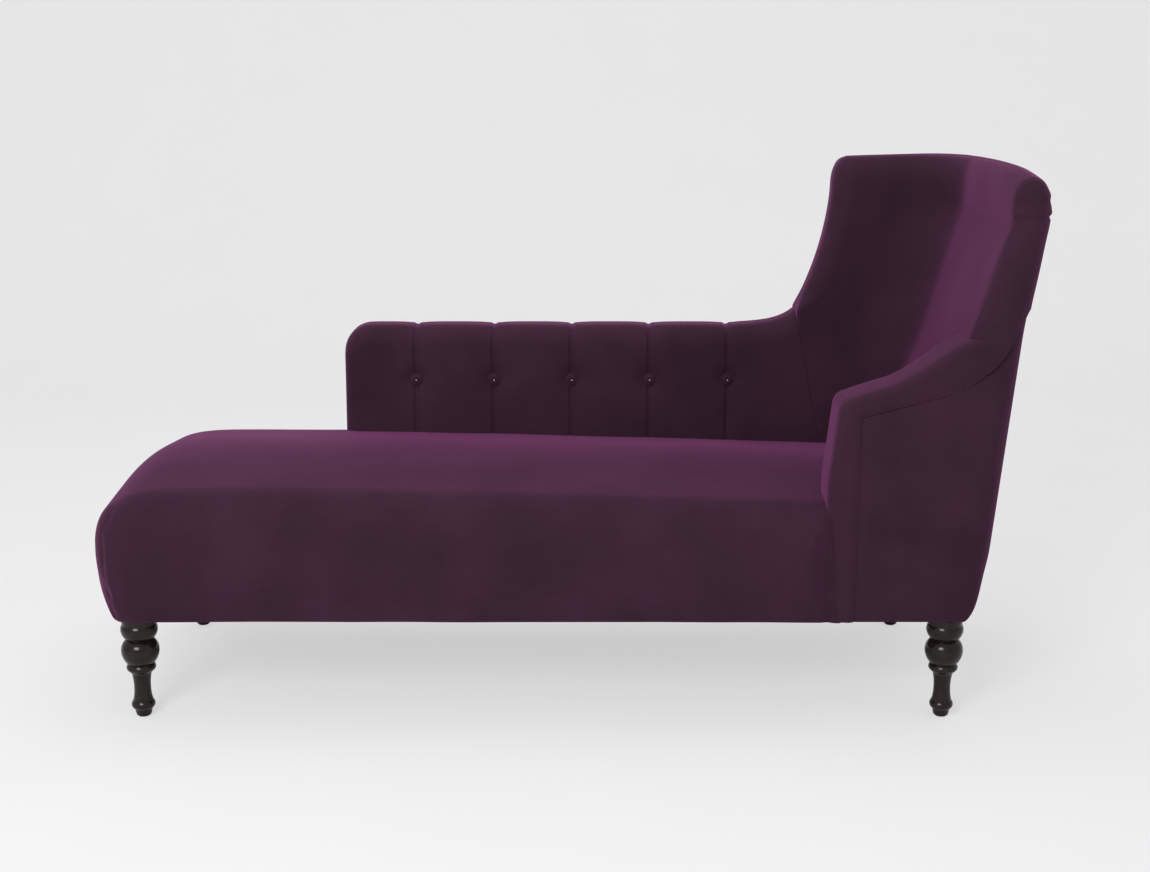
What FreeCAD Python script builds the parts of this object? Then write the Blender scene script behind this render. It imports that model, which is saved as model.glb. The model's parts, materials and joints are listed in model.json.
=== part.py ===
"""Chaise longue with a tall wrapped head end, a channelled low back and one short arm.

Millimetres. +X points to the head end, +Y to the side with the low back, +Z up.
The origin lies on the floor under the middle of the whole piece.
"""
import FreeCAD, Part
import math
import os

os.makedirs("parts", exist_ok=True)
V = FreeCAD.Vector

# Base frame
foot_rail_x = -845.0       # outer face of the foot end rail
head_rail_x = 764.0        # outer face of the head end rail
frame_depth = 591.0        # over the outer faces of the two long rails
rail_bottom = 200.0        # height of the frame above the floor
rail_height = 145.0
rail_thickness = 22.0
stretcher_width = 45.0
stretcher_height = 70.0
block_side = 75.0          # leg blocks in the four corners of the frame
block_height = 60.0
batten_height = 44.0       # spring battens inside the two long rails

# Turned legs and their hardware
leg_inset = 30.0           # leg axis in from the outer face of each rail
leg_top_radius = 33.5
glide_thickness = 3.0
glide_radius = 11.0
glide_pin_radius = 1.5
glide_pin_length = 12.0
bolt_diameter = 8.0
bolt_into_leg = 45.0
bolt_into_block = 40.0
insert_diameter = 11.0
insert_length = 13.0
screw_diameter = 4.5
screw_length = 60.0
screw_head_radius = 4.4
screw_head_height = 2.8
batten_screw_length = 38.0
batten_screw_count = 6
dowel_diameter = 10.0
dowel_length = 50.0
dowel_depth = 12.0         # how far a dowel enters the face of a board
fit = 0.1                  # clearance round fasteners and dowels

# Cloth, wadding and the play between neighbours
cover_thickness = 3.0
wadding_thickness = 8.0
web_thickness = 2.0
web_width = 50.0
hessian_thickness = 1.2
play = 0.3

# Tight seat
seat_bulge = 34.5          # how far the padded sides stand out past the frame
foot_bulge = 45.0          # the same at the foot end
seat_tuck = 3.3            # how far the cover stands out at the foot of the sides
bulge_height = 310.0       # where the sides and the foot end stand out most
seat_top = 480.0           # crown of the seat near the foot end
seat_fall = 37.0           # how much lower the crown lies at the head end
seat_crown = 33.0          # crown above the shoulders of the sides
shoulder_radius = 85.0
foot_corner_radius = 78.0  # the two corners of the foot end, seen from above
foot_roll = 3.7            # how full the foot end is; 2 is a plain quarter ellipse
foot_sweep = 230.0         # length over which the top rolls down to the foot end
bulge_end_length = 60.0    # length over which the padded sides close at the arm
roll_lift = 12.0           # the padding of the sides starts this far up the rails

# Spring deck
spring_count = 12
spring_wire = 3.8
spring_bars = 21
spring_width = 44.0
spring_margin = 73.0       # first spring in from the foot rail
spring_end_gap = 18.0      # last spring from the foot of the back
tie_wire = 2.4
tie_y = 90.0
clip_height = 8.0
clip_width = 16.0
clip_length = 15.0

# Low back along the far side
low_back_start = -477.0
low_back_top = 683.0
low_back_face = 212.5      # front face at the height of the rails' top
back_lean = 0.03           # lean of the far side, run over rise
low_corner_radius = 60.0
low_edge_radius = 42.0
outer_edge_radius = 14.0   # the tighter edge towards the outside
first_seam = -320.0
channel_pitch = 168.0
seam_count = 5
seam_depth = 7.0
seam_drop = 5.0
lobe_swell = 1.2           # how far a channel may swell past the plain face
button_height = 567.0
button_radius = 14.5
button_edge = 3.0
button_thickness = 9.0
twine_radius = 1.2
toggle_radius = 8.0
toggle_thickness = 4.0
wood_inset = 18.0          # padding between the wood and the outline of the far side
post_width = 45.0
post_thickness = 22.0
tack_rail_bottom = 405.0
tack_rail_height = 40.0
low_strap_bottom = 475.0
low_strap_pitch = 115.0

# Head end: back and wing
back_foot_x = 812.5        # outer face of the back where its tuck begins
back_foot_z = 328.0
back_rake = 0.095          # lean of the outer face, run over rise
back_rake_high = 0.135     # the same above back_bend_z
back_bend_z = 750.0
back_tuck = 38.0           # how far the outer face turns in at the bottom
back_near_face = 767.0     # inner face at the near edge, at back_face_height
back_face_height = 800.0
face_rake = 0.303
face_bow = 10.0            # the inner face lies this much further out at the far side
rake_end = 965.0           # above this height the back rises straight
crest_top = 1045.0
crest_round = 56.0
crest_inset = 28.0
crest_proud = 3.0          # crest and near edge stand out past the outside panel
near_edge_proud = 10.5     # how far the near edge and the arm stand out past the rails
near_corner_radius = 45.0
far_corner_radius = 62.0
hollow_radius = 150.0      # inner corner between the back and the wing
wing_start = 497.5         # front of the wing where it leaves the low back
wing_start_z = 715.0
wing_lean = 74.0
wing_flare_start = 200.0
wing_edge_radius = 40.0
joint_slope = 0.2          # seam between the low back and the wing, run over rise
crest_border = 40.0        # padding over the crest rail
opening_top = 950.0        # top of the outside back panel
outer_padding = 8.0
foam_at_seat = 55.0
foam_at_crest = 20.0
near_side_inset = 8.5      # near side board in from the outer face of the back
far_side_inset = 13.2
crest_rail_height = 85.0
head_strap_bottom = 460.0
head_strap_pitch = 120.0
head_strap_count = 4

# Near arm
arm_front = 499.0
arm_width = 120.5
arm_shoulder = 27.0        # length over which the front rounds into the top
arm_front_top = 632.0      # height just behind the rounded front
arm_slope = 0.30
arm_lift = 42.0            # extra rise where the arm runs into the back
arm_lift_length = 125.0
arm_edge_radius = 34.0
arm_band = 54.0            # width of the facing down the front of the arm
arm_padding = 30.0
arm_board_width = 80.0
arm_board_thickness = 22.0
arm_board_drop = 14.0      # underside of the arm board below the panel's seam
seam_front_z = 598.0       # top seam of the outside panel, at the back of the band
seam_slope = 0.27
seam_turn_length = 138.0   # length over which the seam turns up to the back
seam_turn_rise = 87.0

# Outside panels and dust cover
panel_thickness = 3.0
panel_margin = 24.0        # cover that shows round the far outside panel
panel_lap = 8.0
dust_cover_thickness = 1.2
dust_cover_margin = 12.0
dust_hole_radius = 36.0

# Sizes that follow from those above
half_depth = frame_depth / 2
rail_top = rail_bottom + rail_height
foot_leg_x = foot_rail_x + leg_inset
head_leg_x = head_rail_x - leg_inset
leg_y = half_depth - leg_inset
rail_inner_y = half_depth - rail_thickness
foot_inner_x = foot_rail_x + rail_thickness
head_inner_x = head_rail_x - rail_thickness
batten_y = rail_inner_y - rail_thickness / 2
foot_tip = foot_rail_x - foot_bulge
seat_half = half_depth + seat_bulge
seat_waste = 12.0          # the seat's form is made this much too deep and cut level
spring_z = rail_top + clip_height / 2
tie_z = spring_z + (spring_wire + tie_wire) / 2
hessian_z = tie_z + tie_wire / 2 + fit + play / 2
hessian_top = hessian_z + hessian_thickness
deck_z = hessian_top + play
near_face = -half_depth - near_edge_proud
arm_inner = near_face + arm_width
panel_face = half_depth + seat_tuck
pad_bottom = deck_z + play
web_face = rail_inner_y - web_thickness - play
wood_gap = web_thickness + 2 * play
panel_joint_y = near_face + near_corner_radius + 11
seams = [first_seam + channel_pitch * i for i in range(seam_count)]
arm_lift_start = back_near_face - 147.0
seam_turn_start = back_foot_x - 112.0
post_front = arm_front + arm_padding
far = 2 * half_depth       # a plane well outside the piece, for cutting shapes
beyond_head = head_rail_x + 300


def blend(a, b, t):
    return a + (b - a) * t


def clamp(value, low, high):
    return max(low, min(high, value))


# Outlines: a corner is (u, v, radius), and a wire runs lines and tangent arcs through them

def inset_corners(corners, depth):
    """Move every side of a closed outline inward; rounded corners keep their centres."""
    count = len(corners)
    area = sum(corners[i - 1][0] * corners[i][1] - corners[i][0] * corners[i - 1][1]
               for i in range(count))
    turn = 1.0 if area > 0 else -1.0
    moved = []
    for i in range(count):
        before, here, after = corners[i - 1], corners[i], corners[(i + 1) % count]
        a = (here[0] - before[0], here[1] - before[1])
        b = (after[0] - here[0], after[1] - here[1])
        la, lb = math.hypot(*a), math.hypot(*b)
        na = (-a[1] / la * turn, a[0] / la * turn)
        nb = (-b[1] / lb * turn, b[0] / lb * turn)
        scale = depth / (1 + na[0] * nb[0] + na[1] * nb[1])
        convex = (a[0] * b[1] - a[1] * b[0]) * turn > 0
        radius = here[2] - depth if convex else here[2] + depth
        moved.append((here[0] + (na[0] + nb[0]) * scale, here[1] + (na[1] + nb[1]) * scale,
                      max(radius, 1.0)))
    return moved


def outline_wire(corners, place):
    """A closed wire of lines and tangent arcs; place turns (u, v) into a point."""
    count = len(corners)
    points = [V(c[0], c[1], 0) for c in corners]
    arcs = []
    for i in range(count):
        here = points[i]
        to_before = points[i - 1] - here
        to_after = points[(i + 1) % count] - here
        reach = 0.48 * min(to_before.Length, to_after.Length)
        to_before.normalize()
        to_after.normalize()
        half = math.acos(clamp(to_before.dot(to_after), -1, 1)) / 2
        length = min(corners[i][2] / math.tan(half), reach)
        start, end = here + to_before * length, here + to_after * length
        radius = length * math.tan(half)
        inward = to_before + to_after
        inward.normalize()
        middle = here + inward * (radius / math.sin(half) - radius)
        arcs.append((start, middle, end))
    edges = []
    for i in range(count):
        last_end = arcs[i - 1][2]
        start, middle, end = arcs[i]
        edges.append(Part.LineSegment(place(last_end), place(start)).toShape())
        edges.append(Part.Arc(place(start), place(middle), place(end)).toShape())
    return Part.Wire(edges)


def level(z):
    return lambda p: V(p.x, p.y, z)


def station(x):
    return lambda p: V(x, p.x, p.y)


def depth_plane(y):
    return lambda p: V(p.x, y, p.y)


def loft(wires):
    return Part.makeLoft(wires, True)


def box(x0, x1, y0, y1, z0, z1):
    return Part.makeBox(x1 - x0, y1 - y0, z1 - z0, V(x0, y0, z0))


def side_prism(points, y0, y1):
    """A flat outline in X and Z, as thick as y0 to y1."""
    wire = Part.makePolygon([V(x, y0, z) for x, z in points + points[:1]])
    return Part.Face(wire).extrude(V(0, y1 - y0, 0))


def end_prism(points, x0, x1):
    """A flat outline in Y and Z, as long as x0 to x1."""
    wire = Part.makePolygon([V(x0, y, z) for y, z in points + points[:1]])
    return Part.Face(wire).extrude(V(x1 - x0, 0, 0))


def rod(start, end, radius):
    return Part.makeCylinder(radius, (end - start).Length, start, end - start)


def turned(profile, base):
    """A solid turned round the upright axis through base; profile is a wire in X and Z."""
    solid = Part.Face(profile).revolve(V(0, 0, 0), V(0, 0, 1), 360)
    solid.translate(base)
    return solid


def together(shapes):
    return Part.makeCompound(shapes)


def without(shape, tools):
    """The shape with the volume of each tool taken away in turn."""
    for tool in tools:
        if tool.BoundBox.intersect(shape.BoundBox):
            shape = shape.cut(tool)
    return shape


def save(name, shape):
    shape.exportStep(f"parts/{name}.step")


# Surfaces that several pieces share

def back_outer(z):
    """Outer face of the head end's back at height z."""
    height = clamp(z, rail_bottom, rake_end)
    low = min(height, back_bend_z)
    x = back_foot_x + back_rake * (low - back_foot_z) + back_rake_high * (height - low)
    below = clamp((back_foot_z - z) / (back_foot_z - rail_bottom + 2), 0, 1)
    return x - back_tuck * (1 - math.sqrt(1 - below ** 2) * 0.75 - 0.25 * (1 - below))


def back_inner(z):
    return back_near_face + face_rake * (min(z, rake_end - 15) - back_face_height)


def cavity_face(z):
    """Front of the hollow that holds the back's frame."""
    low, high = pad_bottom, crest_top - crest_border
    share = (z - low) / (high - low)
    return blend(back_inner(low) + foam_at_seat, back_inner(high) + foam_at_crest, share)


def side_front(z):
    """Front edge of the back's side boards; upright inside the base frame."""
    return cavity_face(max(z, pad_bottom)) + wood_gap


def far_outer(z):
    return panel_face + back_lean * (z - rail_bottom)


def far_inner(z):
    return low_back_face + back_lean * 1.5 * (z - rail_top)


def joint_x(z):
    """Slanting seam between the low back's cover and the wing's."""
    return wing_start + joint_slope * (wing_start_z - z)


def wing_front(z):
    if z <= wing_start_z:
        return joint_x(z)
    share = clamp((z - wing_start_z) / (crest_top - crest_round - wing_start_z), 0, 1)
    return wing_start + wing_lean * (1 - (1 - share) ** 1.8)


def low_back_height(x):
    share = clamp((x - wing_flare_start) / (wing_start - wing_flare_start), 0, 1.2)
    return low_back_top + (wing_start_z - low_back_top) * share ** 7


def arm_rear_x(z):
    """Where the arm ends, just past the rounded near edge of the back."""
    return back_inner(z) + near_corner_radius + 1


def arm_top(x):
    """Top line of the arm: a long slope that lifts into the back."""
    share = clamp((x - arm_lift_start) / arm_lift_length, 0, 1)
    lift = arm_lift * (3 * share ** 2 - 2 * share ** 3)
    return arm_front_top + arm_slope * (x - arm_front - arm_shoulder) + lift


def seam_line(x):
    return seam_front_z + seam_slope * (x - arm_front - arm_band)


def arm_seam(x):
    """Top edge of the outside arm panel."""
    share = clamp((x - seam_turn_start) / seam_turn_length, 0, 1.1)
    return seam_line(x) + seam_turn_rise * share ** 2.8


# Outer forms; depth moves the whole surface inward, so covers and foams share them

def seat_section(x, depth):
    """Outline of the seat in Y and Z at x."""
    past = x - (foot_tip + depth)
    sweep = foot_sweep - depth
    share = clamp(1 - past / sweep, 0, 1)
    along = clamp((x - foot_tip - foot_sweep) / (head_rail_x - foot_tip - foot_sweep), 0, 1)
    crown = seat_top - depth - seat_fall * along ** 1.6
    high = bulge_height + (crown - bulge_height) * (1 - share ** foot_roll) ** (1 / foot_roll)
    low_share = clamp(1 - past / (foot_bulge - seat_tuck), 0, 1)
    deep = rail_bottom - seat_waste
    low = bulge_height - (bulge_height - deep) * (1 - low_share) ** 0.625
    corner = foot_corner_radius - depth
    round_share = clamp(1 - past / corner, 0, 1)
    wide = seat_half - depth - corner * (1 - math.sqrt(1 - round_share ** 2))
    rise = (high - low) / (seat_top - rail_bottom)
    tuck = (seat_bulge - seat_tuck) * rise
    side_z = low + (high - low) * (bulge_height - rail_bottom) / (seat_top - rail_bottom)
    shoulder_z = high - seat_crown * rise
    lean = 14.0 * rise
    right = [(wide - tuck, low, 5.0), (wide, side_z, 200.0 * rise),
             (wide - lean, shoulder_z, (shoulder_radius - depth / 2) * rise)]
    left = [(-y, z, r) for y, z, r in reversed(right)]
    return right + [(0.0, high, 1100.0)] + left


def bulge_end(x_end, side, depth):
    """What lies outside a padded side that closes in a round end at x_end."""
    inward = seat_half - panel_face
    radius = (bulge_end_length ** 2 + inward ** 2) / (2 * inward)
    x0, y0 = x_end - bulge_end_length, seat_half - radius
    radius -= depth
    y_end = panel_face - depth
    reach = math.sqrt(radius ** 2 - (y_end - y0) ** 2)
    middle = math.asin(reach / radius) / 2
    bottom = rail_bottom - 20
    corners = [V(x0, side * (y0 + radius), bottom),
               V(x0 + radius * math.sin(middle), side * (y0 + radius * math.cos(middle)), bottom),
               V(x0 + reach, side * y_end, bottom)]
    ends = [V(beyond_head, side * y_end, bottom), V(beyond_head, side * far, bottom),
            V(x0, side * far, bottom)]
    edges = [Part.Arc(*corners).toShape()]
    path = [corners[2]] + ends + [corners[0]]
    edges += [Part.LineSegment(a, b).toShape() for a, b in zip(path, path[1:])]
    return Part.Face(Part.Wire(edges)).extrude(V(0, 0, crest_top))


def seat_body(depth):
    start = foot_tip + depth
    foot = [start + s for s in (1.2, 5, 13, 28, 52, 88, 136, 190, foot_sweep + 20)]
    last = back_near_face - 60
    main = [blend(foot[-1], last, t) for t in (0, 0.25, 0.5, 0.75, 1)]
    parts = [loft([outline_wire(seat_section(x, depth), station(x)) for x in stations])
             for stations in (foot, main)]
    below = box(foot_tip - 50, beyond_head, -far, far, rail_bottom - 60, rail_bottom)
    ends = [bulge_end(arm_front, -1, depth), bulge_end(low_back_start, 1, depth)]
    return without(parts[0].fuse(parts[1]), [below] + ends)


def low_back_section(x, depth, sunk):
    """Outline of the low back in Y and Z; sunk is 1 at a sewn channel and 0 between."""
    past = x - (low_back_start + depth)
    corner = low_corner_radius - depth
    share = clamp(1 - past / corner, 0, 1)
    drop = corner * (1 - math.sqrt(1 - share ** 2))
    top = low_back_height(x) - depth - drop - seam_drop * sunk
    faces = []
    for radius in (low_edge_radius - depth, outer_edge_radius - depth):
        edge = clamp(1 - past / radius, 0, 1)
        faces.append(depth + radius * (1 - math.sqrt(1 - edge ** 2)))
    front, back = faces[0] + seam_depth * sunk, faces[1]
    return [(far_inner(pad_bottom) + front, pad_bottom, 1.0),
            (far_inner(top) + front, top, low_edge_radius - depth),
            (far_outer(top) - back, top, outer_edge_radius - depth),
            (far_outer(pad_bottom) - back, pad_bottom, 1.0)]


def low_back_loft(steps, depth):
    return loft([outline_wire(low_back_section(x, depth, sunk), station(x)) for x, sunk in steps])


def low_back_start_steps(depth):
    return [(low_back_start + depth + s, 0.0) for s in (0.6, 3, 7, 14, 24, 38, 54)]


def channel_steps(x, side):
    """How the surface rises from the seam at x towards one side."""
    return [(x + side * run, sunk) for run, sunk in ((0, 1.0), (5, 0.62), (16, 0.24), (34, 0.05))]


def low_back_body(depth):
    """The channelled low back, a lobe between each two seams."""
    last = joint_x(pad_bottom) + 25
    lobes = []
    for i, seam in enumerate(seams):
        steps = low_back_start_steps(depth) if i == 0 else channel_steps(seams[i - 1], 1)
        middle = (max(steps[-1][0], steps[0][0]) + seam) / 2 - 8
        steps = steps + [(middle, 0.0)] + channel_steps(seam, -1)[::-1]
        lobes.append(low_back_loft(steps, depth))
    start = seams[-1] + 34
    tail = channel_steps(seams[-1], 1) + [(blend(start, last, t), 0.0) for t in (0.3, 0.55, 0.8, 1)]
    lobes.append(low_back_loft(tail, depth))
    body = lobes[0].fuse(lobes[1:]).removeSplitter()
    return without(body, [beyond_joint(depth)] + [button_cup(x, depth) for x in seams])


def low_back_space():
    """Upright form round the low back's foot, for the seat to end against."""
    wires = []
    for z in (pad_bottom - 1, seat_top + 60):
        corners = [(low_back_start, far_inner(z) - lobe_swell, low_edge_radius),
                   (wing_start + 100, far_inner(z) - lobe_swell, 2.0),
                   (wing_start + 100, far_outer(z), 2.0), (low_back_start, far_outer(z), 2.0)]
        wires.append(outline_wire(inset_corners(corners, -play), level(z)))
    return loft(wires)


def beyond_joint(depth):
    """Everything on the wing's side of the slanting seam."""
    high, low = crest_top, rail_bottom
    return side_prism([(joint_x(low) - depth - play / 2, low),
                       (joint_x(high) - depth - play / 2, high),
                       (beyond_head, high), (beyond_head, low)], 0, far)


def button_seat():
    """Depth in Y of the flat that a button is pulled against."""
    return far_inner(button_height) + seam_depth


def button_cup(x, depth):
    y = button_seat() + depth
    return rod(V(x, 0, button_height), V(x, y, button_height), button_radius + play + depth)


def back_corners(z):
    outer = back_outer(max(z, back_foot_z)) + crest_proud
    front = wing_front(z)
    free = clamp((z - wing_start_z) / wing_edge_radius, 0, 1)
    return [(outer, near_face, near_corner_radius),
            (outer, far_outer(z), far_corner_radius),
            (front, far_outer(z), blend(2.0, outer_edge_radius, free)),
            (front, far_inner(z), blend(2.0, wing_edge_radius, free)),
            (back_inner(z) + face_bow, far_inner(z), hollow_radius),
            (back_inner(z), near_face, near_corner_radius)]


def back_body(depth):
    """The head end's back and the wing in one wrapped form."""
    lower = [pad_bottom, 450, 600, wing_start_z]
    lower_wires = [outline_wire(inset_corners(back_corners(z), depth), level(z)) for z in lower]
    crest_start = crest_top - crest_round
    upper = [(blend(wing_start_z, crest_start, t), 0.0)
             for t in (0.0, 0.08, 0.2, 0.36, 0.56, 0.78, 1.0)]
    upper += [(crest_start + crest_round * t, crest_inset * (1 - math.sqrt(1 - t ** 2)))
              for t in (0.4, 0.66, 0.84, 0.95, 0.995)]
    upper_wires = []
    for z, round_in in upper:
        corners = inset_corners(back_corners(z), depth + round_in)
        upper_wires.append(outline_wire(corners, level(z - depth * (z > crest_start))))
    return loft(lower_wires).fuse(loft(upper_wires))


def arm_corners():
    """Outline of the arm in X and Z, with its facing down to the foot of the rail."""
    rear_x = back_near_face + 10
    rear_z = arm_top(rear_x)
    top = [(arm_front + 14, arm_front_top - 5, 28.0)]
    for x in (arm_front + 62, arm_lift_start + 5, arm_lift_start + 60, arm_lift_start + 110):
        top.append((x, arm_top(x) + 1, 170.0))
    foot_z = rail_bottom + 1
    return [(arm_front + 12, foot_z, 3.0), (arm_front - 5, 455.0, 300.0)] + top + [
        (arm_rear_x(rear_z), arm_top(arm_rear_x(rear_z)), 4.0),
        (arm_rear_x(pad_bottom), pad_bottom, 2.0), (arm_rear_x(pad_bottom), foot_z, 3.0)]


def arm_body(depth):
    stations = [(near_face + depth, arm_edge_radius * 0.55), (near_face + depth + 2.5, 10.0),
                (near_face + depth + 9, 4.2), (near_face + depth + 20, 1.0),
                (near_face + arm_edge_radius, 0.0), (arm_inner - arm_edge_radius, 0.0),
                (arm_inner - depth - 14, 1.5), (arm_inner - depth - 4, 6.5),
                (arm_inner - depth, arm_edge_radius * 0.45)]
    return loft([outline_wire(inset_corners(arm_corners(), depth + round_in), depth_plane(y))
                 for y, round_in in stations])


def outside_body(depth):
    """The form that the outside panels follow, upright all round."""
    heights = [rail_bottom + s for s in (1.5, 12, 28, 50, 78, 104, 128)]
    heights += [back_foot_z + 90, 560, back_bend_z, 850, opening_top, rake_end + 30]
    wires = []
    for z in heights:
        outer = back_outer(z) - play
        corners = [(outer, -panel_face, near_corner_radius),
                   (outer, far_outer(z), far_corner_radius),
                   (low_back_start - 60, far_outer(z), 5.0),
                   (low_back_start - 60, -panel_face, 5.0)]
        wires.append(outline_wire(inset_corners(corners, depth), level(z)))
    return loft(wires)


# Hollows and openings that the covers and foams leave free

def base_space():
    """The base frame with its deck."""
    return box(foot_rail_x - play, head_rail_x + play, -half_depth - play, half_depth + play,
               rail_bottom - 50, pad_bottom)


def beyond_far_wall(depth):
    low, high = rail_bottom - 50, crest_top + 50
    return end_prism([(far_outer(low) - depth, low), (far_outer(high) - depth, high),
                      (far, high), (far, low)], -beyond_head, beyond_head)


def far_space():
    """Room for the wood and the webbing of the low back and the wing."""
    left, top = low_back_start + wood_inset - play, low_back_top - wood_inset + play
    wing_top = crest_top - crest_border - 20 + play
    front = [top, wing_start_z, 780, 850, 920, wing_top]
    points = [(left, rail_top - 50), (left, top)]
    points += [(wing_front(z) + wood_inset - play, z) for z in front]
    points += [(cavity_face(wing_top) + 10, wing_top), (cavity_face(rail_top) + 10, rail_top - 50)]
    return side_prism(points, web_face - play, far)


def far_hollow():
    """The same room, closed by the cover on the far side."""
    return far_space().cut(beyond_far_wall(cover_thickness + play / 2))


def back_hollow(near_y):
    """Room behind the back's foam, open to the outside below the crest."""
    face = [(cavity_face(z), z) for z in (rail_top - 50, opening_top + play)]
    return side_prism(face + [(beyond_head, opening_top + play), (beyond_head, rail_top - 50)],
                      near_y, far)


def crest_hollow():
    """Room for the crest rail and the tops of the side boards."""
    low, top = opening_top - 1, crest_top - crest_border
    points = [(cavity_face(low), low), (cavity_face(top), top),
              (back_outer(top) - outer_padding, top), (back_outer(low) - outer_padding, low)]
    return side_prism(points, -rail_inner_y - play, rail_inner_y + play)


def seam_points(drop):
    """Points along the outside arm panel's top edge, front to back."""
    xs = [post_front - 0.5, arm_front + arm_band, 620, seam_turn_start, 740, 770, 795, 815, 835,
          back_foot_x + 60]
    return [(x, arm_seam(x) - drop) for x in xs]


def near_hollow():
    """The open inside of the arm, under the arm board."""
    points = seam_points(arm_board_drop)
    points = [(post_front - play, points[0][1])] + points[1:]
    points += [(beyond_head, points[-1][1]), (beyond_head, rail_bottom - 50),
               (post_front - play, rail_bottom - 50)]
    return side_prism(points, -far, -rail_inner_y + play)


def near_opening():
    """Where the outside arm panel takes the place of the cover."""
    points = [p for p in seam_points(-play) if p[0] >= arm_front + arm_band]
    points += [(beyond_head, points[-1][1]), (beyond_head, rail_bottom - 50),
               (arm_front + arm_band, rail_bottom - 50)]
    return side_prism(points, -far, panel_joint_y)


def far_panel_points(gap):
    """Outline in X and Z of the outside panel on the far side."""
    left, top = low_back_start + panel_margin - gap, low_back_top - panel_margin + gap
    points = [(low_back_start + play - gap, rail_bottom + 1.5), (low_back_start + play - gap, rail_top),
              (left, rail_top), (left, top)]
    points += [(wing_front(z) + panel_margin - gap, z)
               for z in (top, wing_start_z, 780, 850, 920, opening_top)]
    points[-1] = (points[-1][0], opening_top + gap)
    edge = far_corner_radius + panel_lap
    for z in (opening_top, back_bend_z, 550, back_foot_z, 280, 240, rail_bottom + 1.5):
        points.append((back_outer(z) - edge + gap, z + gap * (z == opening_top)))
    return points


def seat_limits():
    """Everything that the seat's soft parts end against."""
    behind = arm_front + arm_padding
    return [arm_body(-play), back_body(-play), low_back_space(),
            box(behind, beyond_head, -far, arm_inner + play, rail_bottom - 50, crest_top),
            box(behind, beyond_head, -far, far, rail_bottom - 50, pad_bottom),
            box(low_back_start - play, beyond_head, rail_inner_y, far, rail_bottom - 50, pad_bottom)]


# Base frame

def long_rail(side):
    y = side * half_depth
    inner = side * rail_inner_y
    return box(foot_rail_x, head_rail_x, min(y, inner), max(y, inner), rail_bottom, rail_top)


def end_rail(x0):
    return box(x0, x0 + rail_thickness, -rail_inner_y, rail_inner_y, rail_bottom, rail_top)


def stretcher_places():
    return [blend(foot_inner_x, head_inner_x, share) for share in (1 / 3, 2 / 3)]


def stretcher(x):
    return box(x - stretcher_width / 2, x + stretcher_width / 2, -rail_inner_y, rail_inner_y,
               rail_bottom, rail_bottom + stretcher_height)


def leg_block(end, side):
    x0 = foot_inner_x if end < 0 else head_inner_x - block_side
    y0 = rail_inner_y - block_side if side > 0 else -rail_inner_y
    return box(x0, x0 + block_side, y0, y0 + block_side, rail_bottom, rail_bottom + block_height)


def spring_batten(side):
    edges = sorted((side * rail_inner_y, side * (rail_inner_y - rail_thickness)))
    return box(foot_inner_x, side_front(rail_top), edges[0], edges[1],
               rail_top - batten_height, rail_top)


# Frame of the low back, the wing and the head end

def low_post(x):
    top = low_back_top - wood_inset - post_thickness
    return box(x, x + post_width, rail_inner_y, far, rail_top, top).cut(
        beyond_far_wall(panel_thickness + play))


def low_post_places():
    """Foot ends of the low back's two posts."""
    middle = (seams[seam_count // 2] + seams[seam_count // 2 + 1]) / 2
    return [low_back_start + wood_inset, middle - post_width / 2]


def low_back_top_rail():
    top = low_back_top - wood_inset
    low = top - post_thickness
    points = [(low_back_start + wood_inset, low), (low_back_start + wood_inset, top),
              (wing_wood_front(top), top), (wing_wood_front(low), low)]
    return side_prism(points, rail_inner_y, far).cut(beyond_far_wall(panel_thickness + play))


def wing_wood_front(z):
    return wing_front(z) + wood_inset


def low_back_tack_rails():
    first, second = low_post_places()
    high = tack_rail_bottom + tack_rail_height
    rails = []
    for start, end in ((first + post_width, [second, second]),
                       (second + post_width, [wing_wood_front(z) for z in (tack_rail_bottom, high)])):
        points = [(start, tack_rail_bottom), (start, high), (end[1], high), (end[0], tack_rail_bottom)]
        rails.append(side_prism(points, rail_inner_y, half_depth))
    return rails


def wing_side():
    """Raked side board of the wing, from the far rail to the crest."""
    top = crest_top - crest_border - 20
    front = [rail_top, wing_start_z, 780, 850, 920, top]
    points = [(wing_wood_front(z), z) for z in front]
    rear = min(back_outer(rail_top) - far_corner_radius, head_rail_x)
    points += [(back_outer(top) - far_corner_radius, top), (rear, rail_top)]
    return side_prism(points, rail_inner_y, far).cut(beyond_far_wall(panel_thickness + play))


def back_side(side):
    """Side board of the back: stands on the leg block and hooks over the head rail."""
    inset = near_side_inset if side < 0 else far_side_inset
    edges = sorted((side * rail_inner_y, side * (rail_inner_y - rail_thickness)))
    top = crest_top - crest_border - play
    foot = rail_bottom + block_height
    points = [(side_front(foot), foot), (side_front(pad_bottom), pad_bottom), (side_front(top), top),
              (back_outer(top) - inset, top), (back_outer(back_bend_z) - inset, back_bend_z),
              (back_outer(rail_top) - inset, rail_top), (head_inner_x, rail_top),
              (head_inner_x, foot)]
    return side_prism(points, edges[0], edges[1])


def between_sides():
    return -rail_inner_y + rail_thickness, rail_inner_y - rail_thickness


def crest_rail():
    """Top rail of the back, rebated where the outside panel is fixed to it."""
    top = crest_top - crest_border - play
    low = top - crest_rail_height
    step = opening_top - play
    flush = panel_thickness + 2 * play
    points = [(side_front(low), low), (side_front(top), top), (back_outer(top) - near_side_inset, top),
              (back_outer(step) - near_side_inset, step), (back_outer(step) - flush, step),
              (back_outer(low) - flush, low)]
    return side_prism(points, *between_sides())


def head_tack_rail():
    high = tack_rail_bottom + tack_rail_height
    points = [(side_front(tack_rail_bottom), tack_rail_bottom), (side_front(high), high),
              (side_front(high) + rail_thickness, high),
              (side_front(tack_rail_bottom) + rail_thickness, tack_rail_bottom)]
    return side_prism(points, *between_sides())


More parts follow.
